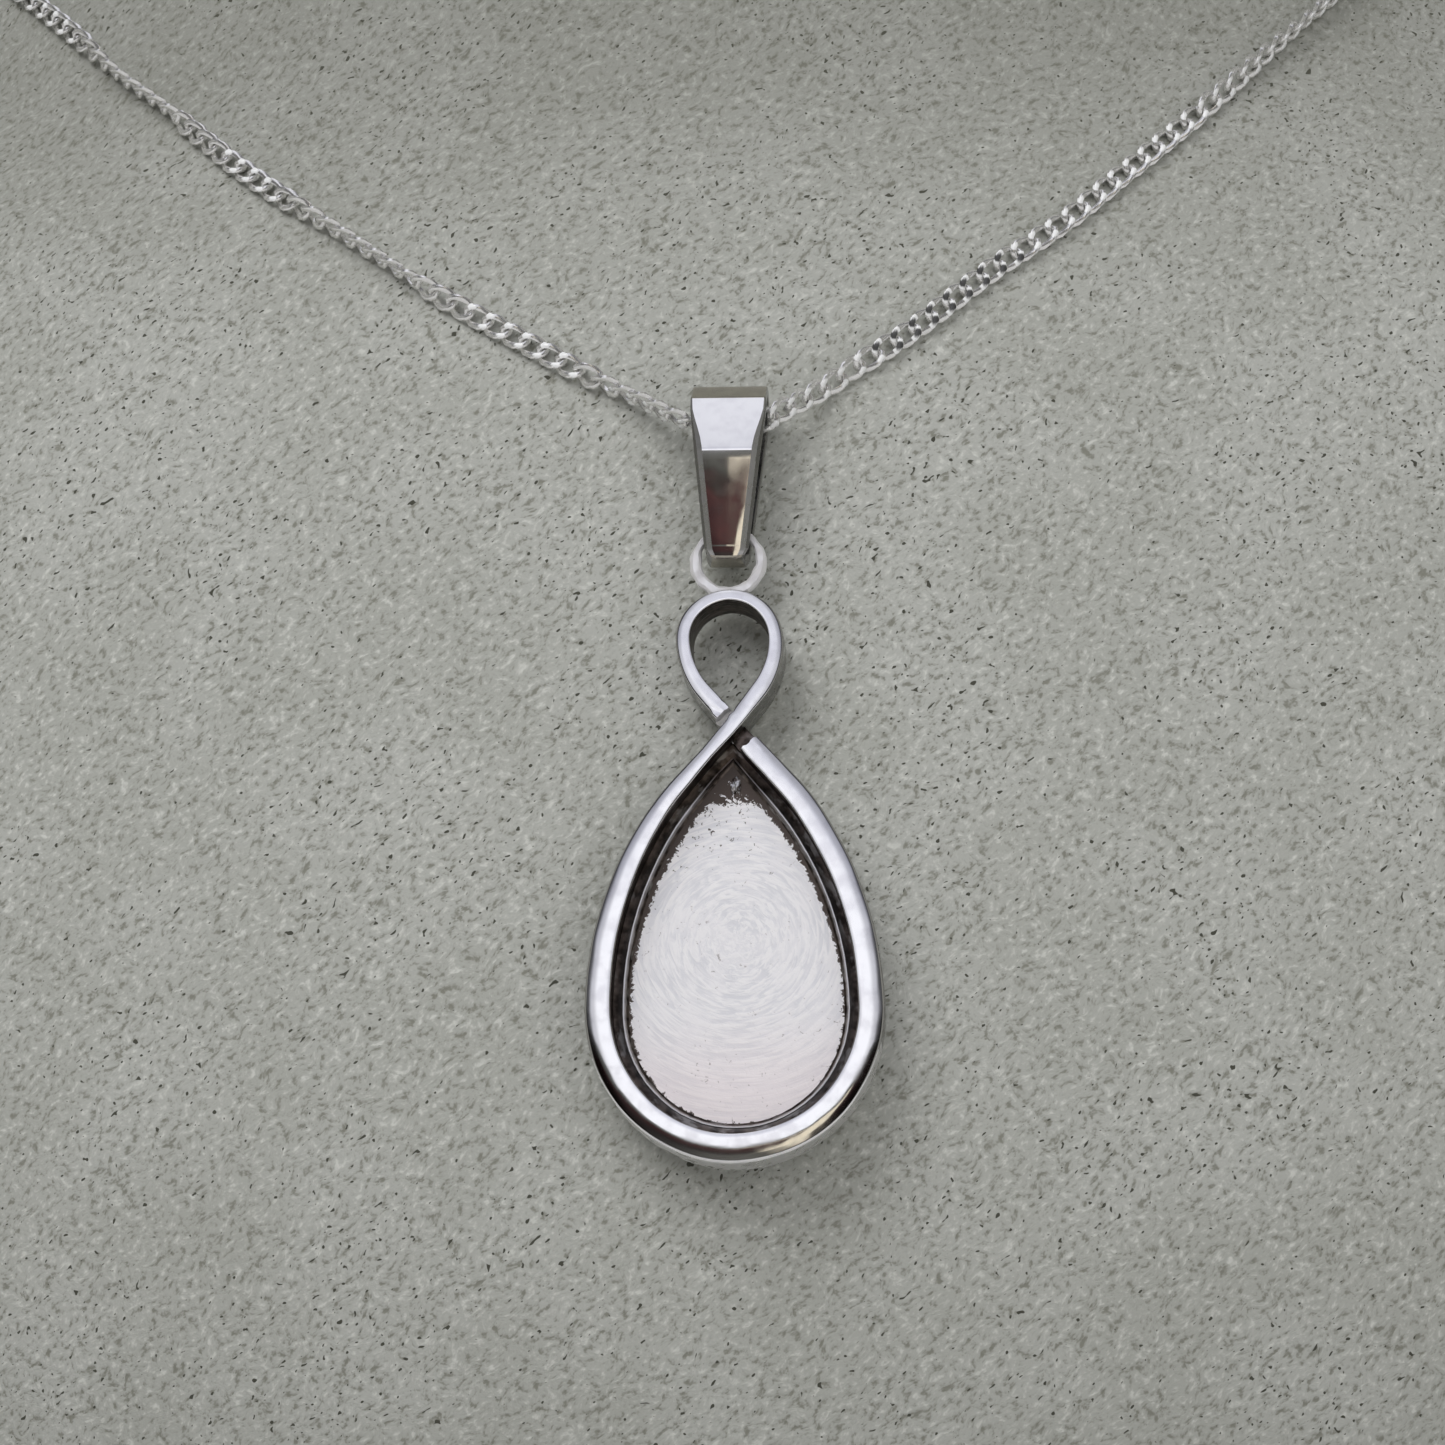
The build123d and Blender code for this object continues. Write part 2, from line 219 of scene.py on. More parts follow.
# %% Surrounding light
world = bpy.data.worlds.new("studio")
bpy.context.scene.world = world
world.use_nodes = True
sky = world.node_tree
sky.nodes.clear()
ray_way = add_node(sky, "ShaderNodeTexCoord").outputs["Generated"]
ray = add_node(sky, "ShaderNodeSeparateXYZ", links={0: ray_way})
room_by_height = [
    # height of the ray, red, green, blue
    (0.0, 0.10, 0.10, 0.09), (0.20, 0.030, 0.026, 0.024), (0.386, 0.040, 0.020, 0.020),
    (0.393, 0.050, 0.024, 0.024), (0.399, 0.080, 0.036, 0.034), (0.402, 0.035, 0.022, 0.020),
    (0.4045, 0.014, 0.013, 0.012), (0.407, 0.045, 0.045, 0.040), (0.412, 0.075, 0.075, 0.067),
    (0.420, 0.085, 0.085, 0.076), (0.460, 0.12, 0.12, 0.115), (0.478, 0.78, 0.79, 0.83),
    (0.560, 0.78, 0.79, 0.84), (0.600, 0.64, 0.65, 0.71), (0.640, 0.52, 0.53, 0.60),
    (0.740, 0.50, 0.51, 0.56), (0.840, 0.62, 0.63, 0.68), (1.0, 0.60, 0.61, 0.66)]
share_by_side = [
    # distance from the window's middle, red, green, blue
    (0.0, 1.0, 1.0, 1.0), (0.06, 1.0, 1.0, 1.0), (0.16, 0.64, 0.64, 0.65),
    (0.26, 0.54, 0.54, 0.56), (0.34, 0.08, 0.08, 0.08), (0.56, 0.05, 0.05, 0.05),
    (0.70, 0.16, 0.16, 0.15), (1.0, 0.22, 0.22, 0.20)]
window_side, far_walls, wall_grey = 0.066, (0.56, 0.72), (0.16, 0.16, 0.145, 1)
height_colour = colour_ramp(sky, math_node(sky, "MAXIMUM", ray.outputs["Z"], 0.0), room_by_height)
from_window = math_node(sky, "ABSOLUTE", math_node(sky, "ADD", ray.outputs["X"], window_side))
side_share = colour_ramp(sky, from_window, share_by_side)
wall_share = ramp(sky, from_window, *far_walls)
room = mix_colour(sky, 1.0, height_colour, side_share, "MULTIPLY")
room = mix_colour(sky, wall_share, room, wall_grey)
print("room with", len(room_by_height), "heights and", len(share_by_side), "sides")

# %% [markdown]
# A warm card stands low on the right and puts the cream-coloured patch on the bail. Each of its
# edges is a narrow ramp, and multiplying the ramps leaves the card alone. Its upper part reaches
# further to the left, which gives the patch its step.

# %% Warm card
card_step = (0.408, 0.410, 0.0, 0.08)
card_left, card_right = (0.011, 0.017), (0.16, 0.13)
card_low, card_top, card_front = (0.10, 0.14), (0.4245, 0.4225), (0.0, -0.2)
card_colour = (0.62, 0.56, 0.44, 1)
card_start = math_node(sky, "ADD", ray.outputs["X"], ramp(sky, ray.outputs["Z"], *card_step))
card_side = math_node(sky, "MULTIPLY", ramp(sky, card_start, *card_left),
                      ramp(sky, ray.outputs["X"], *card_right))
card_height = math_node(sky, "MULTIPLY", ramp(sky, ray.outputs["Z"], *card_low),
                        ramp(sky, ray.outputs["Z"], *card_top))
card = math_node(sky, "MULTIPLY", card_side, card_height)
card = math_node(sky, "MULTIPLY", card, ramp(sky, ray.outputs["Y"], *card_front))
room = mix_colour(sky, card, room, card_colour)
sky_light = add_node(sky, "ShaderNodeBackground", values={"Strength": 1.3}, links={"Color": room})
add_node(sky, "ShaderNodeOutputWorld", links={"Surface": sky_light.outputs[0]})
bpy.context.scene.view_settings.view_transform = "Standard"
bpy.context.scene.view_settings.look = "None"
print("surrounding light with", len(sky.nodes), "nodes")

# %% [markdown]
# ## Lamps and floor
# The suede has no shine, so it needs lamps of its own. A sun or a point lamp would throw hard
# shadows, and the photograph has soft ones, so these are square area lamps, like the diffusers of
# a studio. No mirror shows them, because the silver already has its room to reflect.


# %% Soft lamps
def soft_lamp(name, place, aim, size, power):
    """A square area lamp at a place, turned to a point and hidden from reflections."""
    lamp = bpy.data.objects.new(name, bpy.data.lights.new(name, "AREA"))
    lamp.data.size = size
    lamp.data.energy = power
    lamp.location = place
    lamp.rotation_mode = "QUATERNION"
    lamp.rotation_quaternion = (Vector(aim) - Vector(place)).to_track_quat("-Z", "Y")
    lamp.visible_glossy = False
    bpy.context.scene.collection.objects.link(lamp)
    print(name, "with", power, "watts")


soft_lamp("key_lamp", (-0.34, -0.48, 0.88), chain_point, 0.6, 5.0)
soft_lamp("fill_lamp", (0.45, -0.85, 0.55), chain_point, 0.9, 3.0)
soft_lamp("back_lamp", (0.3, 0.7, 0.6), (0, 0, 0.12), 0.6, 3.5)

# %% Floor
floor_mesh = bmesh.new()
bmesh.ops.create_grid(floor_mesh, x_segments=1, y_segments=1, size=3.0)
floor = bpy.data.objects.new("floor", bpy.data.meshes.new("floor"))
floor_mesh.to_mesh(floor.data)
floor_mesh.free()
bpy.context.scene.collection.objects.link(floor)
pale_floor = bpy.data.materials.new("pale_floor")
pale_floor.use_nodes = True
floor_shader = pale_floor.node_tree.nodes["Principled BSDF"]
floor_shader.inputs["Base Color"].default_value = (0.60, 0.595, 0.58, 1)
floor_shader.inputs["Roughness"].default_value = 0.8
floor.data.materials.append(pale_floor)
print("a pale floor")

# %% [markdown]
# ## Suede
# Suede is leather with its short fibres brushed up. It has no shine, a slightly cloudy colour
# where the nap lies in different directions, and countless tiny curved dark gaps and pale tufts.
# Real fibres would be far too many. Noise that is stretched along the brushing and squeezed by a
# narrow ramp gives the flecks, wide noise gives the clouds, and neither has a seam. The suede
# darkens a little towards the neck, as in the photograph; this darkening is painted shade.

# %% Suede pattern
suede, tree, shader, position = new_material("suede")
cloud_scale, swirl_scale, fibre_scale, gap_scale = 130.0, 900.0, 3200.0, 4800.0
swirl_push = 0.0005
brushing, fleck_length = (0, radians(50), 0), (1.0, 1.0, 1.6)
clouds = noise_value(tree, position, cloud_scale, 1.0)
swirl = add_node(tree, "ShaderNodeTexNoise", values={"Scale": swirl_scale, "Detail": 0.0},
                 links={"Vector": position})
fibre_place = add_node(tree, "ShaderNodeVectorMath", {"operation": "MULTIPLY_ADD"},
                       {1: (swirl_push, swirl_push, swirl_push)},
                       {0: swirl.outputs["Color"], 2: position})
strokes = add_node(tree, "ShaderNodeMapping", {"vector_type": "TEXTURE"},
                   {"Rotation": brushing, "Scale": fleck_length},
                   {"Vector": fibre_place.outputs[0]}).outputs[0]
fibres = noise_value(tree, strokes, fibre_scale, 2.0, 0.62)
gaps = noise_value(tree, strokes, gap_scale, 0.0)
patches = ramp(tree, clouds, 0.35, 0.65, 0.185, 0.25)
dark_flecks = ramp(tree, math_node(tree, "SUBTRACT", patches, gaps), -0.02, 0.03)
print("suede pattern with", len(tree.nodes), "nodes")

# %% Suede colours
nap_down, nap_up = (0.410, 0.415, 0.382, 1), (0.45, 0.455, 0.425, 1)
# The next two colours are partly the suede's own tone and partly painted light: shade in the fibre
# hollows and a highlight on the tufts.
hollow_and_painted_shade, tuft_and_painted_highlight = (0.24, 0.24, 0.205, 1), (0.60, 0.605, 0.565, 1)
# The second colour on the next line is painted shade for the neck.
fleck, painted_neck_shade = (0.075, 0.075, 0.060, 1), (0.12, 0.12, 0.095, 1)
nap = mix_colour(tree, ramp(tree, clouds, 0.3, 0.7), nap_down, nap_up)
# Painted shade where the fibre bump is low and a painted highlight where it is high, over the
# suede's own darker and paler fibres.
nap = mix_colour(tree, ramp(tree, fibres, 0.50, 0.28), nap, hollow_and_painted_shade)
nap = mix_colour(tree, ramp(tree, fibres, 0.53, 0.76), nap, tuft_and_painted_highlight)
nap = mix_colour(tree, dark_flecks, nap, fleck)
# Painted shade: from just above the bail upwards the colour darkens towards the neck.
neck_height = add_node(tree, "ShaderNodeSeparateXYZ", links={0: position}).outputs["Z"]
nap = mix_colour(tree, ramp(tree, neck_height, 0.117, 0.137, 0.0, 0.36), nap, painted_neck_shade)
tree.links.new(nap, shader.inputs["Base Color"])
shader.inputs["Roughness"].default_value = 0.95
shader.inputs["Specular IOR Level"].default_value = 0.15
tree.links.new(bump(tree, fibres, 0.00010, 0.7), shader.inputs["Normal"])
print("suede with", len(tree.nodes), "nodes")

# %% [markdown]
# ## Silver
# Polished silver is a pure metal: nearly white, very smooth, with faint smears and a surface that
# is never quite flat after hand work. One plain metal would look like plastic beside it. A shallow
# wavy bump bends the reflections as on a real filed and buffed strip, and soft noise changes the
# colour and the gloss a little. The bail, the band and the ring share this recipe, each with its
# own gloss, depth of waves and tint.


# %% Silver finishes
def silver_material(name, roughness, wave_depth, wave_scale=420.0, tint=(0.93, 0.92, 0.925, 1)):
    """Hand-worked silver; the wave depth is in metres and its scale in waves per metre."""
    material, tree, shader, position = new_material(name)
    waves = noise_value(tree, position, wave_scale, 1.0)
    smears = noise_value(tree, position, smear_scale, 2.0)
    dull = (tint[0] * 0.86, tint[1] * 0.85, tint[2] * 0.87, 1)
    colour = mix_colour(tree, ramp(tree, smears, 0.40, 0.75, 0.0, 0.6), tint, dull)
    gloss = ramp(tree, smears, 0.3, 0.7, roughness * 0.7, roughness * 1.4)
    tree.links.new(colour, shader.inputs["Base Color"])
    tree.links.new(gloss, shader.inputs["Roughness"])
    shader.inputs["Metallic"].default_value = 1.0
    tree.links.new(bump(tree, waves, wave_depth), shader.inputs["Normal"])
    return material


smear_scale = 1300.0
polished_silver = silver_material("polished_silver", 0.09, 0.00003)
bail_silver = silver_material("bail_silver", 0.05, 0.000012)
bevel_silver = silver_material("bevel_silver", 0.30, 0.00001)
# Painted shade: a dark grey copy of the silver, for narrow walls and insides.
painted_shade_wall_silver = silver_material("painted_shade_wall_silver", 0.25, 0.00002, tint=(0.36, 0.355, 0.345, 1))
# Painted reflection: a dark brownish copy of the silver, standing in for the suede that the bail's
# round top and foot mirror.
painted_reflection_silver = silver_material("painted_reflection_silver", 0.18, 0.00001, tint=(0.50, 0.47, 0.41, 1))
matt_silver = silver_material("matt_silver", 0.45, 0.00004, 900.0, (0.93, 0.915, 0.93, 1))
matt_silver.node_tree.nodes["Principled BSDF"].inputs["Metallic"].default_value = 0.5
print("six silver finishes")

# %% [markdown]
# ## Chain silver
# The chain's filed spots are small mirrors: they flash white where the chain lies flat, and turn
# dark with a bright rim where it is rolled a little. Left to the reflections alone, such small
# mirrors would flicker by chance. So the links store an attribute that is 1 on a flashing spot,
# -1 on a dark one and 0 on the wire, and a ramp turns it into those tones. The flashes are painted
# highlights, and the dark spots with their bright rims are painted reflections.

# %% Chain silver material
chain_silver, tree, shader, position = new_material("chain_silver")
# Painted light: the white tones are painted highlights on flashing spots, the near-black ones
# painted dark reflections.
painted_spot_tones = [
    # place from dark spot to flash, red, green, blue
    (0.0, 0.07, 0.07, 0.07), (0.16, 0.10, 0.10, 0.10), (0.27, 1.0, 1.0, 1.0),
    (0.38, 1.0, 1.0, 1.0), (0.46, 0.95, 0.94, 0.93), (0.72, 0.95, 0.94, 0.93),
    (0.84, 1.0, 1.0, 1.0)]
painted_spot_light = attribute_value(tree, "painted_spot_light")
spot_share = ramp(tree, painted_spot_light, -1.0, 1.0, smooth=False)
tree.links.new(colour_ramp(tree, spot_share, painted_spot_tones), shader.inputs["Base Color"])
# On a painted spot the silver turns mostly from metal into plain paint.
painted_flash = math_node(tree, "MAXIMUM", ramp(tree, painted_spot_light, 0.45, 0.75), ramp(tree, painted_spot_light, -0.1, -0.3))
tree.links.new(ramp(tree, painted_flash, 0.0, 1.0, 0.80, 0.10), shader.inputs["Metallic"])
shader.inputs["Roughness"].default_value = 0.20
print("chain silver with", len(tree.nodes), "nodes")

# %% [markdown]
# ## Patina
# The steps inside the cup and the walls inside both loops were never buffed, so they keep a
# brown-black patina with paler streaks along the strip. Noise that is squeezed across the strip
# draws the streaks. The cup's bright lip is the same metal, so one attribute tells how far it
# shines instead of a second material with a hard edge.

# %% Patina material
patina, tree, shader, position = new_material("patina")
streak_scale, spot_scale = (0.8, 0.8, 7.0), 1800.0
dark_stain, brown_stain = (0.045, 0.036, 0.032, 1), (0.16, 0.13, 0.115, 1)
pale_streak, bright_lip = (0.34, 0.32, 0.31, 1), (0.86, 0.85, 0.86, 1)
wall_place = add_node(tree, "ShaderNodeVectorMath", {"operation": "MULTIPLY"}, {1: streak_scale},
                      {0: local_millimetres(tree, position, pendant_place)}).outputs[0]
streaks = noise_value(tree, wall_place, 1.0, 3.0, 0.6)
spots = noise_value(tree, position, spot_scale, 2.0, 0.6)
stain = mix_colour(tree, ramp(tree, spots, 0.35, 0.65), dark_stain, brown_stain)
stain = mix_colour(tree, ramp(tree, streaks, 0.52, 0.66), stain, pale_streak)
stain = mix_colour(tree, attribute_value(tree, "shine"), stain, bright_lip)
tree.links.new(stain, shader.inputs["Base Color"])
shader.inputs["Metallic"].default_value = 1.0
shader.inputs["Roughness"].default_value = 0.30
tree.links.new(bump(tree, spots, 0.00002, 0.6), shader.inputs["Normal"])
print("patina with", len(tree.nodes), "nodes")

# %% [markdown]
# ## The brushed plate
# The cup's floor was rubbed with a round motion, so its scratches run in circles. Plain noise has
# no direction. Here it is read at the direction from the middle and the distance to it, which
# draws it out into rings. Coarser noise gives the cloudy tint and the grit.

# %% Plate pattern
plate_silver, tree, shader, position = new_material("plate_silver")
plate_middle = pendant_place @ Matrix.Translation((0.2, -19.6, 0))
round_scale, ring_scale = 1.4, 2.1
flat_place = local_millimetres(tree, position, plate_middle)
reach = add_node(tree, "ShaderNodeVectorMath", {"operation": "LENGTH"}, links={0: flat_place})
way = add_node(tree, "ShaderNodeVectorMath", {"operation": "NORMALIZE"}, links={0: flat_place})
way_split = add_node(tree, "ShaderNodeSeparateXYZ", links={0: way.outputs[0]})
swirl_place = add_node(tree, "ShaderNodeCombineXYZ", links={
    "X": math_node(tree, "MULTIPLY", way_split.outputs["X"], round_scale),
    "Y": math_node(tree, "MULTIPLY", way_split.outputs["Y"], round_scale),
    "Z": math_node(tree, "MULTIPLY", reach.outputs["Value"], ring_scale)}).outputs[0]
blotches = noise_value(tree, flat_place, 0.55, 2.0, 0.6)
swirls = noise_value(tree, swirl_place, 2.2, 3.0, 0.6, 0.8)
grit = noise_value(tree, flat_place, 3.4, 3.0, 0.7, 0.6)
print("plate pattern with", len(tree.nodes), "nodes")

# %% [markdown]
# The bright floor ends in a ragged line before it meets the wall, most of all in the point of the
# cup and least of all at its round end. The piece stores how near its rim each point lies. Grit is
# added to that number, a little is taken off towards the point and the left, and where the sum is
# small the plate stays dark.

# %% Plate rim
from_rim = attribute_value(tree, "from_rim")
plate_split = add_node(tree, "ShaderNodeSeparateXYZ", links={0: flat_place})
plate_side, plate_up = plate_split.outputs["X"], plate_split.outputs["Y"]
point_end = ramp(tree, plate_up, 6.4, 7.8)
round_end = ramp(tree, plate_up, -3.0, -8.0)
raggedness = math_node(tree, "ADD", math_node(tree, "MULTIPLY", point_end, 3.4), 1.6)
teeth = math_node(tree, "MULTIPLY", math_node(tree, "SUBTRACT", grit, 0.5), raggedness)
ragged = math_node(tree, "ADD", from_rim, teeth)
ragged = math_node(tree, "SUBTRACT", ragged, math_node(tree, "MULTIPLY", point_end, 0.85))
ragged = math_node(tree, "SUBTRACT", ragged, ramp(tree, plate_up, -3.0, 6.5, 0.0, 0.42))
ragged = math_node(tree, "SUBTRACT", ragged, ramp(tree, plate_side, 0.0, -4.0, 0.0, 0.16))
ragged = math_node(tree, "ADD", ragged, math_node(tree, "MULTIPLY", round_end, 0.20))
rim_dark = ramp(tree, ragged, 0.38, 0.28)
pits = math_node(tree, "MULTIPLY", ramp(tree, grit, 0.37, 0.30), ramp(tree, blotches, 0.44, 0.56))
print("plate rim with", len(tree.nodes), "nodes")

# %% Plate colours
scratch, ridge = (0.83, 0.825, 0.865, 1), (1.0, 0.985, 1.0, 1)
cloud, blush = (0.97, 0.95, 0.975, 1), (0.98, 0.86, 0.875, 1)
pit_brown, rim_brown = (0.28, 0.23, 0.23, 1), (0.085, 0.066, 0.058, 1)
sheen = mix_colour(tree, ramp(tree, swirls, 0.38, 0.62), scratch, ridge)
sheen = mix_colour(tree, ramp(tree, blotches, 0.40, 0.62, 0.0, 0.55), sheen, cloud)
sheen = mix_colour(tree, math_node(tree, "MULTIPLY", round_end, 0.5), sheen, blush)
sheen = mix_colour(tree, math_node(tree, "MULTIPLY", pits, 0.6), sheen, pit_brown)
sheen = mix_colour(tree, rim_dark, sheen, rim_brown)
tree.links.new(sheen, shader.inputs["Base Color"])
shader.inputs["Metallic"].default_value = 0.25
shader.inputs["Roughness"].default_value = 0.45
swirl_bump = bump(tree, swirls, 0.00003, 0.5)
tree.links.new(bump(tree, grit, 0.00003, 0.4, swirl_bump), shader.inputs["Normal"])
print("plate with", len(tree.nodes), "nodes")

# %% [markdown]
# ## The neck bust
# The bust is a smooth padded form covered with suede. It could be modelled again, but its CAD
# shape is right and the suede is only a skin, so it stays and takes its material.


# %% Dress the bust
def dress(name, material):
    """Give a CAD piece a material and smooth shading, and leave its shape alone."""
    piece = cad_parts[name]
    piece.data.materials.clear()
    piece.data.materials.append(material)
    for face in piece.data.polygons:
        face.use_smooth = True
    print(name, "dressed, with", len(piece.data.polygons), "faces")
    return piece


bust = dress("neck_bust", suede)

# %% [markdown]
# ## Bending a strip
# The bail, the band, the ring and every chain link are a strip or a wire bent along a path. A
# curve with a bevel could follow it, but it keeps one section all the way, and these pieces
# change theirs. So one pair of helpers does them all: `walk` gives the places along runs and
# arcs, and `sweep` extrudes a section's edges from place to place, as a bending jig moves metal.


# %% Walk and sweep
def walk(start, heading, runs):
    """Places along a flat path, as (point, heading). A run is (length, turn in degrees, steps)."""
    places = [(Vector(start), heading)]
    for length, turn, steps in runs:
        bend = radians(turn) / steps
        step = length / steps
        chord = step if turn == 0 else 2 * (step / abs(bend)) * sin(abs(bend) / 2)
        for _ in range(steps):
            point, angle = places[-1]
            middle = angle + bend / 2
            places.append((point + Vector((cos(middle), sin(middle))) * chord, angle + bend))
    return places


def next_row(mesh, edges, row):
    """Extrude a ring of edges; returns the new edges, and the new points in the old order."""
    grown = bmesh.ops.extrude_edge_only(mesh, edges=edges)["geom"]
    edges = [item for item in grown if isinstance(item, bmesh.types.BMEdge)
             and all(len(v.link_faces) == 2 for v in item.verts) and len(item.link_faces) == 1]
    partner = {}
    for face in (item for item in grown if isinstance(item, bmesh.types.BMFace)):
        for edge in face.edges:
            old = [v for v in edge.verts if v in row]
            new = [v for v in edge.verts if v not in row]
            if len(old) == 1 and len(new) == 1:
                partner[old[0]] = new[0]
    return edges, [partner[v] for v in row]


def sweep(mesh, places, section):
    """Extrude a section along a closed path. section(index) gives its (side, depth) points."""
    first, edges, row = [], [], []
    for index, (point, heading) in enumerate(places[:-1]):
        side = Vector((-sin(heading), cos(heading), 0))
        spots = [Vector((point.x, point.y, 0)) + side * s + Vector((0, 0, d))
                 for s, d in section(index)]
        if not row:
            row = [mesh.verts.new(spot) for spot in spots]
            edges = [mesh.edges.new(pair) for pair in zip(row, row[1:] + row[:1])]
            first = edges
        else:
            edges, row = next_row(mesh, edges, row)
            for vertex, spot in zip(row, spots):
                vertex.co = spot
    bmesh.ops.bridge_loops(mesh, edges=list(first) + list(edges))
    bmesh.ops.recalc_face_normals(mesh, faces=mesh.faces)


print("bending helpers ready")

# %% [markdown]
# Each finished mesh takes the same last steps. It is laid in its place, with its object left at
# the origin, and gets its materials. Its shading is smooth except at real edges, where the angle
# between two faces is large. It is then tied to the body it moves with, and the CAD piece that it
# replaces is hidden.


# %% Finish a piece
def finish_piece(name, mesh, place, materials, body, smooth_angle, node=None):
    """Lay a flat model in its place and hand it over as a finished silver piece."""
    bmesh.ops.transform(mesh, matrix=place, verts=mesh.verts)
    piece = bpy.data.objects.new(name, bpy.data.meshes.new(name))
    mesh.to_mesh(piece.data)
    mesh.free()
    bpy.context.scene.collection.objects.link(piece)
    for material in materials:
        piece.data.materials.append(material)
    for face in piece.data.polygons:
        face.use_smooth = True
    piece.data.set_sharp_from_angle(angle=radians(smooth_angle))
    even = piece.modifiers.new("even_shading", "WEIGHTED_NORMAL")
    even.keep_sharp = True
    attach(piece, body)
    if node:
        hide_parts(node)
    print(name, "has", len(piece.data.polygons), "faces")


print("finishing helper ready")

# %% [markdown]
# ## The bail
# A bail is a tapered strap folded over the chain. Seen from the side it has a flat lower plate, a
# shorter upper face that leans back, a crisp bend and a round top. A box with bevels would miss
# the fold, so the corners of that side view, each with its own bending radius, make a path.

# %% Bail path
bail_corners = [
    # corner of the side view (depth, height), bending radius
    ((0.62, -7.43), 0.60), ((1.48, -2.1), 0.55), ((1.20, 0.66), 0.09), ((-0.20, 2.03), 0.80),
    ((-1.14, 1.05), 0.40), ((-0.62, -7.43), 0.60)]
longest_step, shortest_run = 0.5, 0.001


def rounded_path(corners, arc_step=6.0):
    """Places along a closed outline whose corners are arcs of their own radius."""
    points = [Vector(point) for point, radius in corners]
    runs, starts = [], []
    for index, (point, radius) in enumerate(corners):
        before = (points[index] - points[index - 1]).normalized()
        after = (points[(index + 1) % len(points)] - points[index]).normalized()
        turn = atan2(before.x * after.y - before.y * after.x, before.dot(after))
        starts.append((radius * tan(abs(turn) / 2), turn, radius))
    for index in range(len(points)):
        reach, turn, radius = starts[index]
        following = (index + 1) % len(points)
        runs.append((abs(turn) * radius, degrees(turn),
                     max(2, ceil(abs(degrees(turn)) / arc_step))))
        straight = (points[following] - points[index]).length - reach - starts[following][0]
        runs.append((max(straight, shortest_run), 0, max(1, round(straight / longest_step))))
    before = (points[0] - points[-1]).normalized()
    return walk(points[0] - before * starts[0][0], atan2(before.y, before.x), runs)


bail_path = rounded_path(bail_corners)
print("bail path with", len(bail_path), "places, closed to",
      round((bail_path[0][0] - bail_path[-1][0]).length, 4), "mm")

# %% [markdown]
# The strap is flat inside and slightly crowned outside. Its long edges are bevelled, widely on the
# plate and hardly at all round the fold, it tapers towards the foot, and the foot is filed square.
# A Bevel modifier treats all edges alike, so the section itself changes with the height instead.

# %% Bail section
strap = 0.5
top_width, tip_width, taper_end = 3.85, 2.1, -7.8
bend_line, crown_full, bevel_full = 0.6, -1.0, -2.0
edge_bevel, plate_bevel = 0.09, 0.33
edge_sink, plate_sink = 0.06, 0.20
inner_chamfer, plate_crown = 0.06, 0.025
foot_line, foot_end, foot_narrowing = -7.05, -7.40, 0.22
foot_radius, front_turn, back_turn = 0.85, radians(81.2), radians(86.6)
squareness, mark_depth = 9, 0.004


def between(value, low, high):
    """Where a value lies from low to high, as a smooth share from 0 to 1."""
    share = min(max((value - low) / (high - low), 0), 1)
    return share * share * (3 - 2 * share)


def foot_corner(heading, index):
    """How far the outer face stands out to square the foot, with fine file marks on it."""
    turn = (heading + pi) % (2 * pi) - pi
    whole = front_turn if turn > 0 else back_turn
    turn = abs(turn)
    if turn > whole:
        return 0.0
    marks = mark_depth * (-1) ** index * between(turn, 0.2, 0.5) * between(-turn, -1.4, -1.1)
    corner = (cos(turn) ** squareness + cos(whole - turn) ** squareness) ** (-1 / squareness)
    return foot_radius * (corner - 1) + marks


def bail_section(index):
    """The strap's cross-section at a place: flat inside, crowned and bevelled outside."""
    point, heading = bail_path[index]
    taper = min(max(point.y / taper_end, 0), 1)
    half = ((top_width + (tip_width - top_width) * taper) / 2
            - foot_narrowing * between(point.y, foot_line, foot_end))
    front = between(point.x, -0.2, 0.4)
    bevel = edge_bevel + plate_bevel * front * between(point.y, bend_line, bevel_full)
    sink = edge_sink + plate_sink * front * between(point.y, bend_line, bevel_full)
    inner, outer = strap / 2, -strap / 2 - foot_corner(heading, index)
    flat, crown = half - bevel, plate_crown * front * between(point.y, bend_line, crown_full)
    right = [(inner, half - inner_chamfer), (inner - inner_chamfer, half),
             (outer + sink, half), (outer + sink * 0.42, half - bevel * 0.36)]
    right += [(outer + crown * (share * share - 1), flat * share) for share in (1.0, 0.75, 0.4)]
    return right + [(outer - crown, 0.0)] + [(s, -d) for s, d in reversed(right)]


print("bail section with", len(bail_section(0)), "points")

# %% [markdown]
# The plate is a mirror, the bevels are softer, and the round top and the foot reflect nothing
# bright and get a dark brownish silver, a painted reflection of the suede. The inside and the
# narrow sides were never polished, and their dark grey silver is painted shade. Separate objects
# would leave gaps at their edges, so one mesh has four finishes, and each face takes one by the way
# it looks.

# %% Bail strap
bail_finishes = [bail_silver, painted_reflection_silver, painted_shade_wall_silver, bevel_silver]
hollow_low, hollow_high = -6.85, 0.8
bail_mesh = bmesh.new()
sweep(bail_mesh, bail_path, bail_section)
for face in bail_mesh.faces:
    middle = face.calc_center_median()
    inward = Vector((0.1, min(max(middle.y, hollow_low), hollow_high))) - middle.xy
    on_top = face.normal.y > 0.35 and middle.y > bend_line
    under_foot = face.normal.y < -0.5 and middle.y < foot_line
    finish = bail_silver
    # The narrow sides and the inside take a dark grey silver, painted shade.
    if abs(face.normal.z) > 0.6 or face.normal.xy.dot(inward) > 0:
        finish = painted_shade_wall_silver
    # The round top and the foot take the painted reflection of the suede.
    elif on_top or under_foot:
        finish = painted_reflection_silver
    elif abs(face.normal.z) > 0.25 and middle.x > 0:
        finish = bevel_silver
    face.material_index = bail_finishes.index(finish)
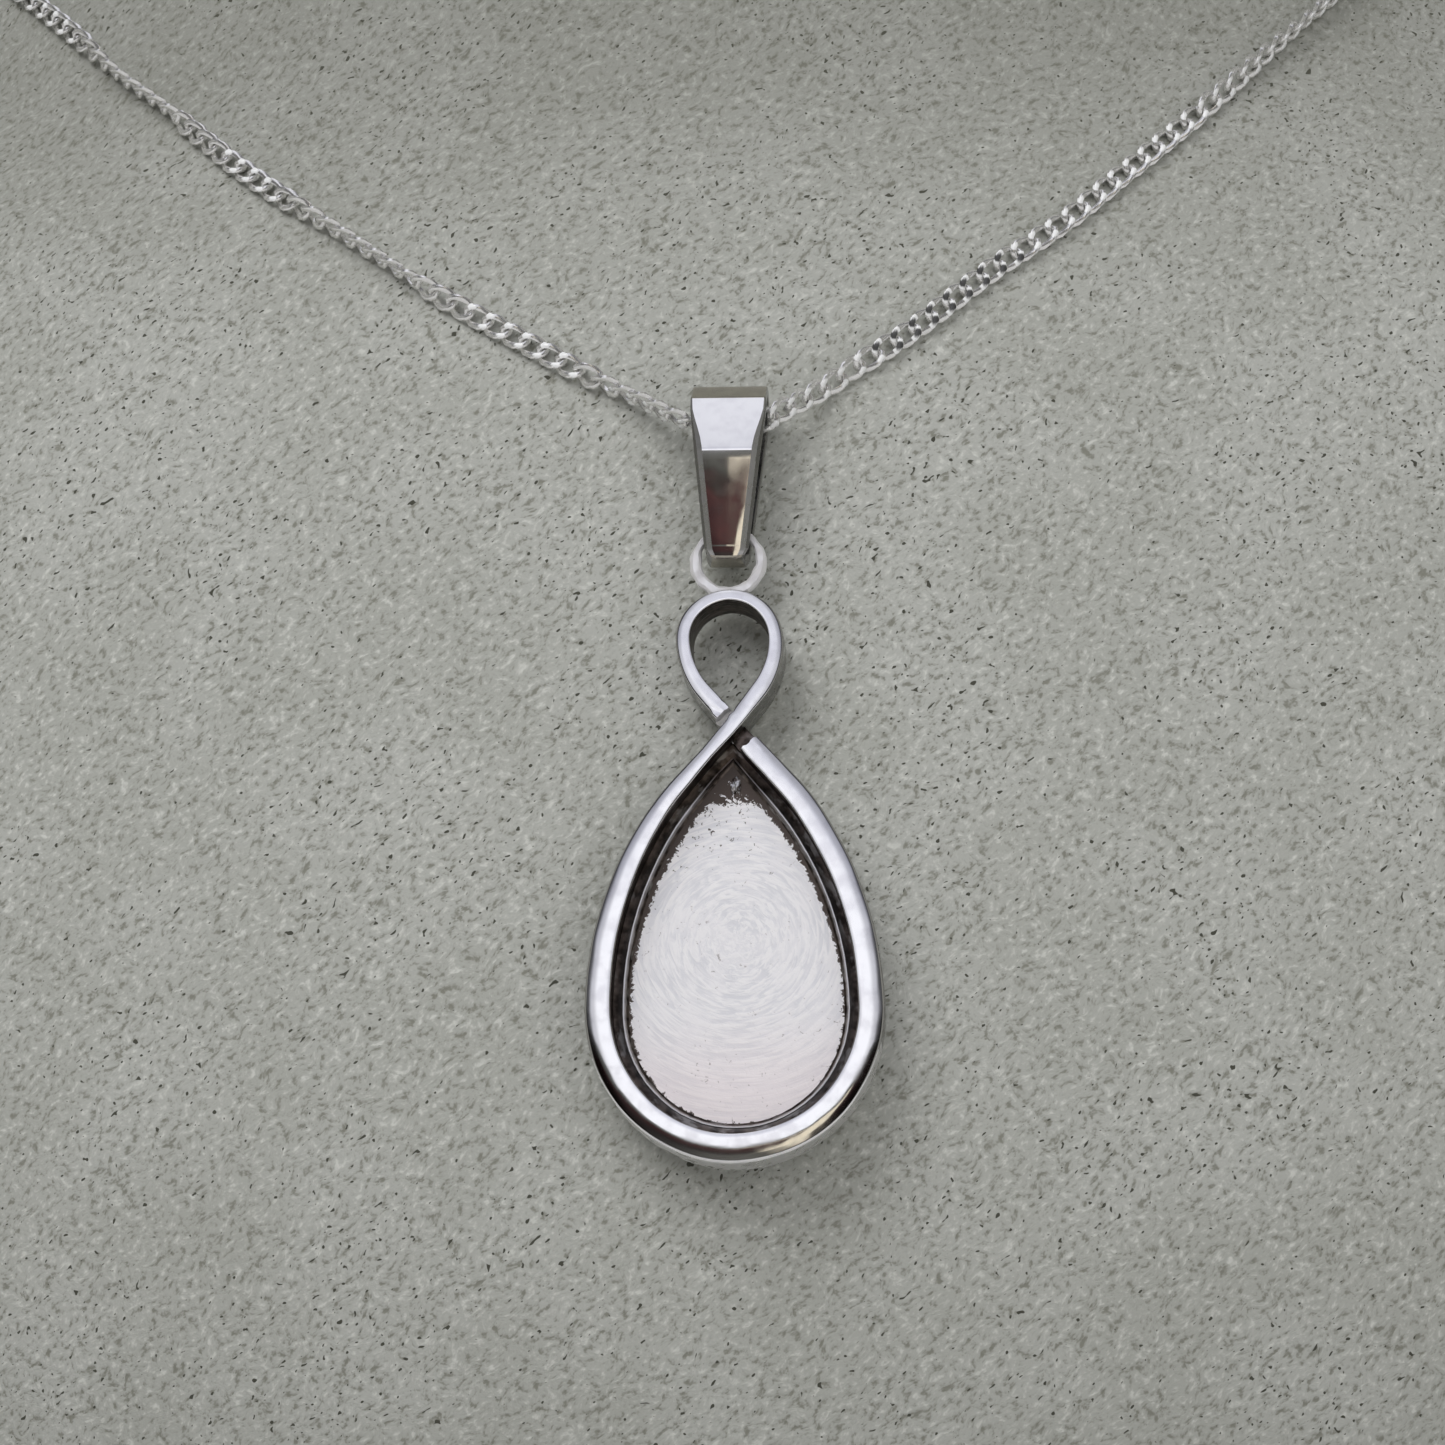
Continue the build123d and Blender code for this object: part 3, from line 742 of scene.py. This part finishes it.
side_to_front = Matrix(((0, 0, -1, 0), (0, 1, 0, 0), (1, 0, 0, 0), (0, 0, 0, 1)))
finish_piece("bail_strap", bail_mesh, bail_place @ side_to_front, bail_finishes, "bail", 15, "bail")

# %% [markdown]
# ## The band
# One strip of silver makes both loops, so it is one path here too, and not two rings laid across
# each other. It starts at the crossing on the upper strand, runs round the large loop, passes
# under itself and returns round the small loop.

# %% Band path
crossing, half_angle = Vector((0.0, -8.73)), 40.0
side_radius, end_radius, small_side_radius, small_end_radius = 17.675, 6.645, 4.115, 2.335
flank, small_flank = 3.905, 2.134
side_bend, end_bend = radians(half_angle) * side_radius, pi * end_radius
small_side, small_end = radians(half_angle) * small_side_radius, pi * small_end_radius
notch_before, notch_after, low_stretch = 1.28, 0.77, 0.041
band_runs = [
    # the large loop
    (flank, 0, 10), (side_bend, half_angle, 26), (end_bend, 180, 60), (side_bend, half_angle, 26),
    (flank - notch_before, 0, 6),
    # the filed notch, where the strip passes under itself
    (0.05, 0, 1), (0.63, 0, 3), (0.60, 0, 3), (0.40, 0, 3), (0.32, 0, 3), (0.05, 0, 1),
    # the small loop
    (small_flank - notch_after, 0, 6), (small_side, -half_angle, 14), (small_end, -180, 44),
    (small_side, -half_angle, 14), (small_flank, 0, 8)]
band_path = walk(crossing, radians(270 - half_angle), band_runs)
run_ends = [0]
for length, turn, steps in band_runs:
    run_ends.append(run_ends[-1] + steps)
low_middle = band_path[run_ends[2]][0].y
for point, heading in band_path:
    point.y += min(point.y - low_middle, 0) * low_stretch
high_middle = max(point.y for point, heading in band_path) - small_end / pi
print("band path with", len(band_path), "places, closed to",
      round((band_path[0][0] - band_path[-1][0]).length, 4), "mm")

# %% [markdown]
# The strip is broad at the teardrop's lower end and thin round the small loop, and its front edges
# are rounder on the outside. Such changes are easiest to keep as a table of keys along the path.
# The lower strand was filed down beside the crossing, so its front drops there in short steps.

# %% Band section values
band_depth, back_chamfer = 2.4, 0.08
band_keys = [
    # place, width, crown and corner on the right of the path, the same on the left, front height
    (run_ends[0], 0.80, 0.04, 0.08, 0.01, 0.08, 1.20),
    (run_ends[0] + 5, 0.72, 0.05, 0.10, 0.01, 0.10, 1.20),
    (run_ends[1], 0.86, 0.06, 0.13, 0.01, 0.10, 1.20),
    (run_ends[1] + 13, 1.12, 0.07, 0.14, 0.01, 0.07, 1.20),
    (run_ends[2], 1.29, 0.08, 0.15, 0.01, 0.06, 1.20),
    (run_ends[2] + 30, 1.43, 0.17, 0.16, 0.00, 0.08, 1.20),
    (run_ends[3], 1.29, 0.08, 0.15, 0.01, 0.06, 1.20),
    (run_ends[3] + 13, 1.22, 0.06, 0.14, 0.01, 0.06, 1.20),
    (run_ends[4], 1.16, 0.06, 0.12, 0.01, 0.06, 1.20),
    (run_ends[5], 1.08, 0.05, 0.06, 0.01, 0.05, 1.20),
    (run_ends[6], 1.04, 0.00, 0.04, 0.00, 0.04, 0.25),
    (run_ends[8], 0.98, 0.00, 0.04, 0.00, 0.04, 0.25),
    (run_ends[9], 0.94, 0.00, 0.05, 0.00, 0.05, 0.50),
    (run_ends[10], 0.90, 0.00, 0.05, 0.00, 0.05, 0.56),
    (run_ends[11], 0.86, 0.00, 0.05, 0.02, 0.08, 1.20),
    (run_ends[12], 0.80, 0.00, 0.05, 0.04, 0.10, 1.20),
    (run_ends[13], 0.72, 0.00, 0.05, 0.04, 0.12, 1.20),
    (run_ends[13] + 22, 0.54, 0.00, 0.05, 0.02, 0.12, 1.20),
    (run_ends[14], 0.74, 0.00, 0.05, 0.04, 0.12, 1.20),
    (run_ends[15], 0.84, 0.01, 0.06, 0.04, 0.10, 1.20),
    (run_ends[16], 0.80, 0.04, 0.08, 0.01, 0.08, 1.20),
]
print("band section given at", len(band_keys), "places")


# %% Band mesh
def keyed(index):
    """The values at a place, read between the two keys beside it."""
    for low, high in zip(band_keys, band_keys[1:]):
        if low[0] <= index <= high[0]:
            share = (index - low[0]) / max(high[0] - low[0], 1)
            return [a + (b - a) * share for a, b in zip(low[1:], high[1:])]


def front_half(half, crown, corner, front):
    """Half of the front: from the wall round the corner and over the crown to the middle."""
    reach = half - corner
    height = front - crown * (reach / half) ** 2
    turns = [radians(90) * step / 4 for step in range(5)]
    arc = [(reach + corner * cos(turn), height - corner * (1 - sin(turn))) for turn in turns]
    return arc + [(reach * share, front - crown * (reach * share / half) ** 2)
                  for share in (0.67, 0.33)]


def band_section(index):
    """The strip's cross-section at a place, with the left of the path as positive side."""
    width, right_crown, right_corner, left_crown, left_corner, front = keyed(index)
    half, back = width / 2, -band_depth / 2
    wall_foot = [(half, back + back_chamfer)]
    left = wall_foot + front_half(half, left_crown, left_corner, front)
    right = wall_foot + front_half(half, right_crown, right_corner, front)
    points = left + [(0.0, front)] + [(-side, height) for side, height in reversed(right)]
    return points + [(-half + back_chamfer, back), (half - back_chamfer, back)]


band_mesh = bmesh.new()
sweep(band_mesh, band_path, band_section)
print("band mesh with", len(band_mesh.faces), "faces")

# %% [markdown]
# The strip was only polished where a buffing wheel reaches. The walls inside both loops keep their
# dark patina, the outer walls are duller than the front, and all but the lowest are darkened with
# painted shade, and the filed part beside the crossing stays matt. A painted mask could tell them
# apart, but the way each face looks is enough.

# %% Band finishes
band_finishes = [polished_silver, patina, matt_silver, painted_shade_wall_silver, bevel_silver]
upper_steps = [band_path[run_ends[index]][0] for index in (9, 10, 11)]
# Most outer walls take a dark grey silver, painted shade; the lowest take the bevel silver.
for face in band_mesh.faces:
    middle = face.calc_center_median()
    loop_y = max(middle.y, low_middle) if middle.y < crossing.y else min(middle.y, high_middle)
    finish = polished_silver
    if 0.0 < middle.z < 1.15 and any((middle.xy - spot).length < 0.5 for spot in upper_steps):
        finish = matt_silver
    elif abs(face.normal.z) < 0.6:
        if face.normal.xy.dot(Vector((0.0, loop_y)) - middle.xy) > 0:
            finish = patina
        elif face.normal.y < -0.25 and middle.y < low_middle:
            finish = bevel_silver
        else:
            finish = painted_shade_wall_silver
    elif 0.0 < middle.z < 0.9:
        finish = patina if middle.x > 0 else matt_silver
    face.material_index = band_finishes.index(finish)
print("band faces sorted into", len(band_finishes), "finishes")

# %% [markdown]
# No hand-bent strip is even. Smooth noise of a few hundredths of a millimetre moves its points, a
# slight push leans it near the crossing, and the edges of the filed steps are rougher. A bump
# would show in the reflections alone, but this shows in the outline too.

# %% Hand-made unevenness
long_wander, short_wander, depth_share = (0.35, 0.04), (1.3, 0.010), 0.3
shake_scale, shake_reach, file_shake = 5.0, 0.62, (0.08, 0.08, 0.03)


def hand_push(point):
    """The push that hand bending gave the strip near its crossing, in millimetres."""
    return Vector((0.04 + 0.14 * exp(-((point.y + 8) / 5) ** 2),
                   -0.10 - 0.15 * exp(-((point.y + 9) / 2.5) ** 2), 0))


stepped = {run_ends[5], run_ends[6], run_ends[10], run_ends[11]}
ragged_rows = [band_path[index][0] for index in stepped]
for vertex in band_mesh.verts:
    wander = (noise.noise_vector(vertex.co * long_wander[0]) * long_wander[1]
              + noise.noise_vector(vertex.co * short_wander[0]) * short_wander[1])
    shift = Vector((wander.x, wander.y, wander.z * depth_share)) + hand_push(vertex.co)
    near_step = any((vertex.co.xy - spot).length < shake_reach for spot in ragged_rows)
    if vertex.co.z > 0.2 and near_step:
        shake = noise.noise_vector(vertex.co * shake_scale + Vector((3, 1, 7)))
        shift += Vector([push * most for push, most in zip(shake, file_shake)])
    vertex.co += shift
finish_piece("band", band_mesh, pendant_place, band_finishes, "pendant", 40, "pendant")

# %% [markdown]
# ## The cup
# Inside the large loop sit a gutter, a thin bright lip and a sloping wall down to the plate. Rings
# could be bent for each, but a stepped form grows more easily from one outline: the face inside it
# is inset again and again, and each inset is given its own depth. An attribute marks the lip as
# shiny and the rest as patina.

# %% Cup outline
into_wall, crossing_clear, apex_drop, start_height = 0.12, 2.3, 0.34, -0.05
cup_mesh = bmesh.new()
shine_layer = cup_mesh.verts.layers.float.new("shine")
cup_spots = [crossing - Vector((0, apex_drop / sin(radians(half_angle))))]
for index in range(run_ends[0] + 6, run_ends[5] - 2, 2):
    point, heading = band_path[index]
    inset = keyed(index)[0] / 2 - into_wall
    spot = point + Vector((-sin(heading), cos(heading))) * inset
    if (spot - crossing).length > crossing_clear:
        cup_spots.append(spot)
cup_rim = [cup_mesh.verts.new((spot.x, spot.y, start_height)) for spot in cup_spots]
cup_face = cup_mesh.faces.new(cup_rim)
cup_face.normal_update()
if cup_face.normal.z < 0:
    bmesh.ops.reverse_faces(cup_mesh, faces=[cup_face])
print("cup outline with", len(cup_rim), "points")

# %% Cup steps
lip_start, lip_full = 11.0, 13.5
cup_steps = [
    # inward, height, shine
    (0.30, -0.08, 0.00), (0.24, -0.15, 0.10), (0.03, -0.09, 0.85), (0.05, -0.09, 1.00),
    (0.03, -0.15, 0.50), (0.08, -0.35, 0.00), (0.10, -0.40, 0.00)]
for inward, height, glow in cup_steps:
    bmesh.ops.inset_individual(cup_mesh, faces=[cup_face], thickness=inward, use_even_offset=True)
    for vertex in cup_face.verts:
        vertex.co.z = height
        vertex[shine_layer] = glow * between(-vertex.co.y, lip_start, lip_full)
print("the plate lies", round(band_depth / 2 - height, 3), "mm below the rim")

# %% [markdown]
# The plate grows from the innermost outline in the same way. It is a piece of its own, because its
# finish is unlike the wall's. Its attribute rises from the rim to the middle, where the scratches
# begin.

# %% Plate
plate_rings = [(0.15, 0.25), (0.15, 0.50), (0.25, 1.0)]
plate_mesh = bmesh.new()
rim_layer = plate_mesh.verts.layers.float.new("from_rim")
plate_face = plate_mesh.faces.new([plate_mesh.verts.new(vertex.co) for vertex in cup_face.verts])
bmesh.ops.delete(cup_mesh, geom=[cup_face], context="FACES_ONLY")
for inward, share in plate_rings:
    bmesh.ops.inset_individual(plate_mesh, faces=[plate_face], thickness=inward,
                               use_even_offset=True)
    for vertex in plate_face.verts:
        vertex[rim_layer] = share
plate_centre = bmesh.ops.poke(plate_mesh, faces=[plate_face])["verts"][0]
plate_centre[rim_layer] = 1.0
print("plate with", len(plate_mesh.faces), "faces")

# %% [markdown]
# A small rough blob of solder sits in the point of the cup, where the goldsmith joined the strands.
# A ball of triangles that noise pushes in and out looks more like run metal than a drawn shape.
# Then the cup gets the same push as the band, so that both still fit.

# %% Solder
solder_size, solder_middle = (0.24, 0.38, 0.11), (0.12, -11.62, -0.38)
cup_wander_scale, cup_wander = 1.1, 0.02
solder = bmesh.ops.create_icosphere(cup_mesh, subdivisions=4, radius=1.0)["verts"]
for vertex in solder:
    lumps = 1.0 + 0.5 * noise.noise(vertex.co * 1.7) + 0.35 * noise.noise(vertex.co * 5.0)
    vertex.co = [at * size * lumps + middle
                 for at, size, middle in zip(vertex.co, solder_size, solder_middle)]
    vertex[shine_layer] = between(noise.noise(vertex.co * 5.0), -0.15, 0.12)
for vertex in list(cup_mesh.verts) + list(plate_mesh.verts):
    wander = noise.noise_vector(vertex.co * cup_wander_scale) * cup_wander
    vertex.co += Vector((wander.x, wander.y, 0)) + hand_push(vertex.co)
finish_piece("cup_steps", cup_mesh, pendant_place, [patina], "pendant", 50)
finish_piece("cup_plate", plate_mesh, pendant_place, [plate_silver], "pendant", 40)

# %% [markdown]
# ## The ring
# The ring is cut from wire, closed with solder and filed by hand, so it is dull, a little flat and
# slightly lumpy. A torus would be too perfect and could not change its wire. Here a circle of wire
# is swept round, slimmer where the bail hides it and it needs room to turn, and then pushed about
# with noise.

# %% Ring
ring_radius, ring_wire, ring_depth, ring_flat = 1.66, 0.60, 0.27, 0.22
slim_from, slim_full, slimmer = 0.2, 0.9, 0.32
ring_push = Vector((0.05, -0.09, 0))
ring_path = walk((ring_radius, 0.0), pi / 2, [(2 * pi * ring_radius, 360, 60)])


def ring_section(index):
    """A wire section, flattened at the front and back, and slimmer where it turns in the bail."""
    turns = [2 * pi * step / 12 for step in range(12)]
    half = ring_wire / 2 * (1 - slimmer * between(ring_path[index][0].y, slim_from, slim_full))
    return [(cos(turn) * half, max(min(sin(turn) * ring_depth, ring_flat), -ring_flat))
            for turn in turns]


ring_mesh = bmesh.new()
sweep(ring_mesh, ring_path, ring_section)
for vertex in ring_mesh.verts:
    lumps = 0.09 - 0.05 * between(vertex.co.y, slim_from, slim_full)
    vertex.co += noise.noise_vector(vertex.co * 2.3 + Vector((5, 2, 1))) * lumps + ring_push
finish_piece("top_ring", ring_mesh, pendant_place, [matt_silver], "pendant", 14)

# %% [markdown]
# ## The chain
# A curb link is an oval of wire, twisted by a quarter turn from end to end and then filed flat, so
# that the chain lies like a ribbon with small mirrors along both sides. A picture of links on a
# tube would be flat from the side. One real link is modelled with few faces, and then laid
# hundreds of times along the chain's line on the bust.

# %% One curb link
link_wire, link_long, link_wide, link_pitch = 0.36, 1.94, 1.32, 1.18
link_twist, link_flat = radians(-88), 0.255
bar = (link_wide - link_wire) / 2
straight = link_long - link_wide
link_path = walk((-straight / 2, -bar), 0.0, [(straight, 0, 2), (pi * bar, 180, 5)] * 2)


def wire_section(index):
    """A six-sided wire."""
    turns = [2 * pi * (step + 0.5) / 6 for step in range(6)]
    return [(cos(turn) * link_wire / 2, sin(turn) * link_wire / 2) for turn in turns]


link_mesh = bmesh.new()
sweep(link_mesh, link_path, wire_section)
for vertex in link_mesh.verts:
    turn = link_twist * vertex.co.x / (link_long - link_wire)
    twist = Matrix.Rotation(turn, 3, "X")
    bmesh.ops.rotate(link_mesh, verts=[vertex], cent=(0, 0, 0), matrix=twist)
    vertex.co.z = min(max(vertex.co.z, -link_flat), link_flat)
print("one link with", len(link_mesh.faces), "faces")

# %% [markdown]
# The file leaves a mirror on each shoulder of the link. The attribute is full within a small
# circle round the mirror's middle and fades out over its edge, and only the upper side has it. It
# carries the painted highlight or the painted dark reflection of that mirror.

# %% Filed spots
spot_side, spot_up, spot_radius, spot_height = 0.56, 0.38, 0.38, 0.13
painted_spot_light_layer = link_mesh.verts.layers.float.new("painted_spot_light")
for vertex in link_mesh.verts:
    shoulder = 1 if vertex.co.x > 0 else -1
    spot_middle = Vector((shoulder * spot_side, -shoulder * spot_up))
    from_spot = (vertex.co.xy - spot_middle).length
    mirror = min(max(1.3 - from_spot / spot_radius, 0), 1)
    vertex[painted_spot_light_layer] = mirror if vertex.co.z > spot_height else 0.0
one_link = bpy.data.meshes.new("one_link")
link_mesh.to_mesh(one_link)
link_mesh.free()
print("the link is", link_long, "mm long and", link_wide, "mm wide")

# %% [markdown]
# The chain hangs from the back of the neck and lies on the chest. A simulation could drape it, but
# the photograph shows where it lies, so its line is given by points. Each is a bearing round the
# neck, a share of the bust's height and the height of the chain's middle over the suede in
# millimetres. A ray from the outside finds each point on the skin.

# %% Points on the skin
chain_right = [
    # bearing in degrees, share of the bust's height, height over the suede
    (2.11, 0.5499, 1.93), (3.82, 0.5558, 1.00), (5.71, 0.5624, 0.50), (8.96, 0.5722, 0.45),
    (13.07, 0.5860, 0.45), (17.35, 0.5985, 0.45), (21.34, 0.6115, 0.45), (26.51, 0.6274, 0.45),
    (32.56, 0.6466, 0.45), (37.4, 0.6610, 0.45), (48.5, 0.6900, 0.45), (60.5, 0.7160, 0.45),
    (73.0, 0.7390, 0.45), (86.0, 0.7590, 0.45), (99.5, 0.7750, 0.45), (113.5, 0.7870, 0.45),
    (128.0, 0.7950, 0.45), (142.0, 0.7995, 0.45), (155.5, 0.8020, 0.45), (167.5, 0.8030, 0.9)]
chain_left = [
    (-2.62, 0.5503, 1.85), (-4.24, 0.5560, 1.10), (-6.3, 0.5620, 0.60), (-10.44, 0.5739, 0.45),
    (-15.37, 0.5875, 0.45), (-19.12, 0.5988, 0.45), (-24.02, 0.6129, 0.45), (-28.37, 0.6254, 0.45),
    (-33.53, 0.6413, 0.45), (-37.24, 0.6517, 0.45), (-41.49, 0.6655, 0.45), (-48.5, 0.6850, 0.45),
    (-60.5, 0.7120, 0.45), (-73.0, 0.7365, 0.45), (-86.0, 0.7580, 0.45), (-99.5, 0.7750, 0.45),
    (-113.5, 0.7870, 0.45), (-128.0, 0.7950, 0.45), (-142.0, 0.7995, 0.45),
    (-155.5, 0.8020, 0.45), (-167.5, 0.8030, 0.9)]
bust_height, ray_start = 208.0, 0.2
skin_mesh = bmesh.new()
skin_mesh.from_mesh(bust.data)
skin = BVHTree.FromBMesh(skin_mesh)
skin_mesh.free()


def on_skin(bearing, share, lift):
    """A point so many millimetres off the bust's skin."""
    start = Vector((0, 0, share * bust_height * MM))
    way = Vector((sin(radians(bearing)), -cos(radians(bearing)), 0))
    point, normal, _, _ = skin.ray_cast(start + way * ray_start, -way)
    if normal.dot(way) < 0:
        normal = -normal
    return point + normal * lift * MM


print("chain given by", len(chain_left) + len(chain_right), "points on the skin")

# %% [markdown]
# A smooth curve runs through all the points, from one end of the clasp through the bail to the
# other. Automatic handles swing out beside the bail, so each handle lies along the line between
# its neighbours and is a third of the way long.

# %% Chain line
end_overlap, bail_hold_side = 0.3 * MM, 1.6 * MM
clasp_low, clasp_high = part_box("clasp")
clasp_middle = (clasp_low + clasp_high) / 2
end_side = (clasp_high.x - clasp_low.x) / 2 - end_overlap
chain_ends = [Vector((way * end_side, clasp_middle.y, clasp_middle.z)) for way in (-1, 1)]
bail_hold = [chain_point + Vector((way * bail_hold_side, 0, 0)) for way in (-1, 1)]
knots = [chain_ends[0]] + [on_skin(*row) for row in reversed(chain_left)] + bail_hold
knots += [on_skin(*row) for row in chain_right] + [chain_ends[1]]
line_data = bpy.data.curves.new("chain_line", "CURVE")
line_data.dimensions = "3D"
line_data.resolution_u = 24
spline = line_data.splines.new("BEZIER")
spline.bezier_points.add(len(knots) - 1)
for index, (knot, place) in enumerate(zip(spline.bezier_points, knots)):
    before, after = knots[max(index - 1, 0)], knots[min(index + 1, len(knots) - 1)]
    way = (after - before).normalized()
    knot.handle_left_type = knot.handle_right_type = "FREE"
    knot.co = place
    knot.handle_left = place - way * (place - before).length / 3
    knot.handle_right = place + way * (after - place).length / 3
line_object = bpy.data.objects.new("chain_line", line_data)
line = [vertex.co.copy() for vertex in bpy.data.meshes.new_from_object(line_object).vertices]
bpy.data.objects.remove(line_object)
line_length = sum((b - a).length for a, b in zip(line, line[1:]))
print("chain line", round(line_length / MM, 1), "mm through", len(knots), "points")

# %% [markdown]
# A limp chain turns slowly about its own line: in some stretches it lies flat on the suede, in
# others it stands on edge. Links that all lie alike would look stamped. A short table says how far
# the chain is turned at each distance from the bail, and whether its filed spots get a painted
# highlight there (1) or a painted dark reflection (-1), as if they faced a dark part of the room.

# %% Chain roll
roll_keys = [
    # mm to the right of the bail, turn in degrees (90 stands on edge), painted flash of the spots
    # onwards
    (-230, 10, 0), (-60, 20, 0), (-57, 8, 1), (-51, 12, 0), (-48, 60, 0), (-46, 80, 0.6),
    (-41, 78, 0), (-39.5, 36, 0), (-36, 30, 0), (-35.2, 8, 1), (-30.6, 10, 0), (-29, 60, 0),
    (-26.5, 82, 0.6), (-20.5, 84, 0), (-18.8, 34, 0), (-17.2, 28, 0), (-16.6, 8, 1), (-9.6, 6, 0),
    (-8.2, 70, 0), (-7.2, 82, 1), (-1.0, 85, 1), (0.6, 46, 1), (7.2, 45, 1), (9.0, 20, -1),
    (18.6, 18, 1), (19.6, 1, 1), (32.0, 2, 1), (34.0, 40, 1), (37.5, 60, 1), (41.0, 80, 1),
    (60, 60, 0), (120, 20, 0), (230, 10, 0)]


def chain_roll(distance):
    """The chain's turn in radians and its painted flash, at a distance from the bail in mm."""
    for (low, first, painted_flash), (high, last, _) in zip(roll_keys, roll_keys[1:]):
        if low <= distance <= high:
            return radians(first + (last - first) * between(distance, low, high)), painted_flash
    return radians(roll_keys[-1][1]), 0


print("chain roll given at", len(roll_keys), "places")

# %% [markdown]
# Links sit at even steps along the line, so the line is measured first: the way travelled to each
# of its points. Then any distance can be looked up.

# %% Distances along the chain
link_count = round(line_length / MM / link_pitch)
pitch = line_length / link_count
travelled = [0.0]
for a, b in zip(line, line[1:]):
    travelled.append(travelled[-1] + (b - a).length)
middle_index = min(range(len(line)), key=lambda index: (line[index] - chain_point).length)
bail_distance = travelled[middle_index]


def point_at(distance):
    """The point of the chain's line at a distance from its start."""
    low, high = 0, len(line) - 1
    while high - low > 1:
        middle = (low + high) // 2
        if travelled[middle] <= distance:
            low = middle
        else:
            high = middle
    share = (distance - travelled[low]) / max(travelled[high] - travelled[low], 1e-9)
    return line[low].lerp(line[high], min(max(share, 0), 1))


print(link_count, "links, one every", round(pitch / MM, 3), "mm")

# %% [markdown]
# A link that lies flat rests low on the suede, and one on edge stands higher. Where the bail lifts
# the chain off the bust, the line's own height holds. Each seat keeps its point, the suede's
# direction, the roll and the painted flash.

# %% Seats of the links
flat_rest, edge_rest, lying, lifted = 0.30, 0.32, 0.55, 1.0
seats = []
for index in range(link_count):
    distance = (index + 0.5) * pitch
    point = point_at(distance)
    roll, painted_flash = chain_roll((distance - bail_distance) / MM)
    ground, normal, _, gap = skin.find_nearest(point)
    if (point - ground).dot(normal) < 0:
        normal = -normal
    rest = (flat_rest + edge_rest * abs(sin(roll))) * MM
    held = between(gap / MM, lying, lifted)
    seats.append((ground + normal * (rest * (1 - held) + gap * held), normal, roll, painted_flash))
print("seats for", len(seats), "links")

# %% Lay the links
loose, loose_step = radians(9), 0.9
chain_mesh = bmesh.new()
for index, (point, normal, roll, painted_flash) in enumerate(seats):
    before = seats[max(index - 1, 0)][0]
    after = seats[min(index + 1, link_count - 1)][0]
    along = (after - before).normalized()
    normal = (normal - along * normal.dot(along)).normalized()
    seat = Matrix((along, normal.cross(along), normal)).transposed().to_4x4()
    seat.translation = point
    shake = noise.noise_vector(Vector((index * loose_step, 2.0, 5.0))) * loose
    seat = (seat @ Matrix.Rotation(roll + shake.x, 4, "X") @ Matrix.Rotation(shake.y * 0.5, 4, "Z")
            @ Matrix.Scale(MM, 4))
    chain_mesh.from_mesh(one_link)
    chain_mesh.verts.ensure_lookup_table()
    fresh = chain_mesh.verts[-len(one_link.vertices):]
    painted_spot_light_layer = chain_mesh.verts.layers.float["painted_spot_light"]
    # Each filed spot takes the painted highlight or painted dark reflection of its stretch of
    # chain.
    for vertex in fresh:
        vertex[painted_spot_light_layer] *= painted_flash
    bmesh.ops.transform(chain_mesh, matrix=seat, verts=fresh)
finish_piece("curb_chain", chain_mesh, Matrix.Identity(4), [chain_silver], "bust_and_chain", 62,
             "chain")

# %% [markdown]
# ## The clasp
# A bolt ring closes the chain at the back of the neck. It is a fat hollow ring with a small ring
# soldered on each side. The CAD piece already has that shape, so it only takes the chain's silver.
# The three CAD pieces that were replaced are hidden, and take silver too.

# %% Dress the clasp
dress("clasp", chain_silver)
for name in ("bail", "pendant", "chain"):
    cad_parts[name].data.materials.clear()
    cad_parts[name].data.materials.append(polished_silver)
print("silver on all the CAD pieces of the necklace")
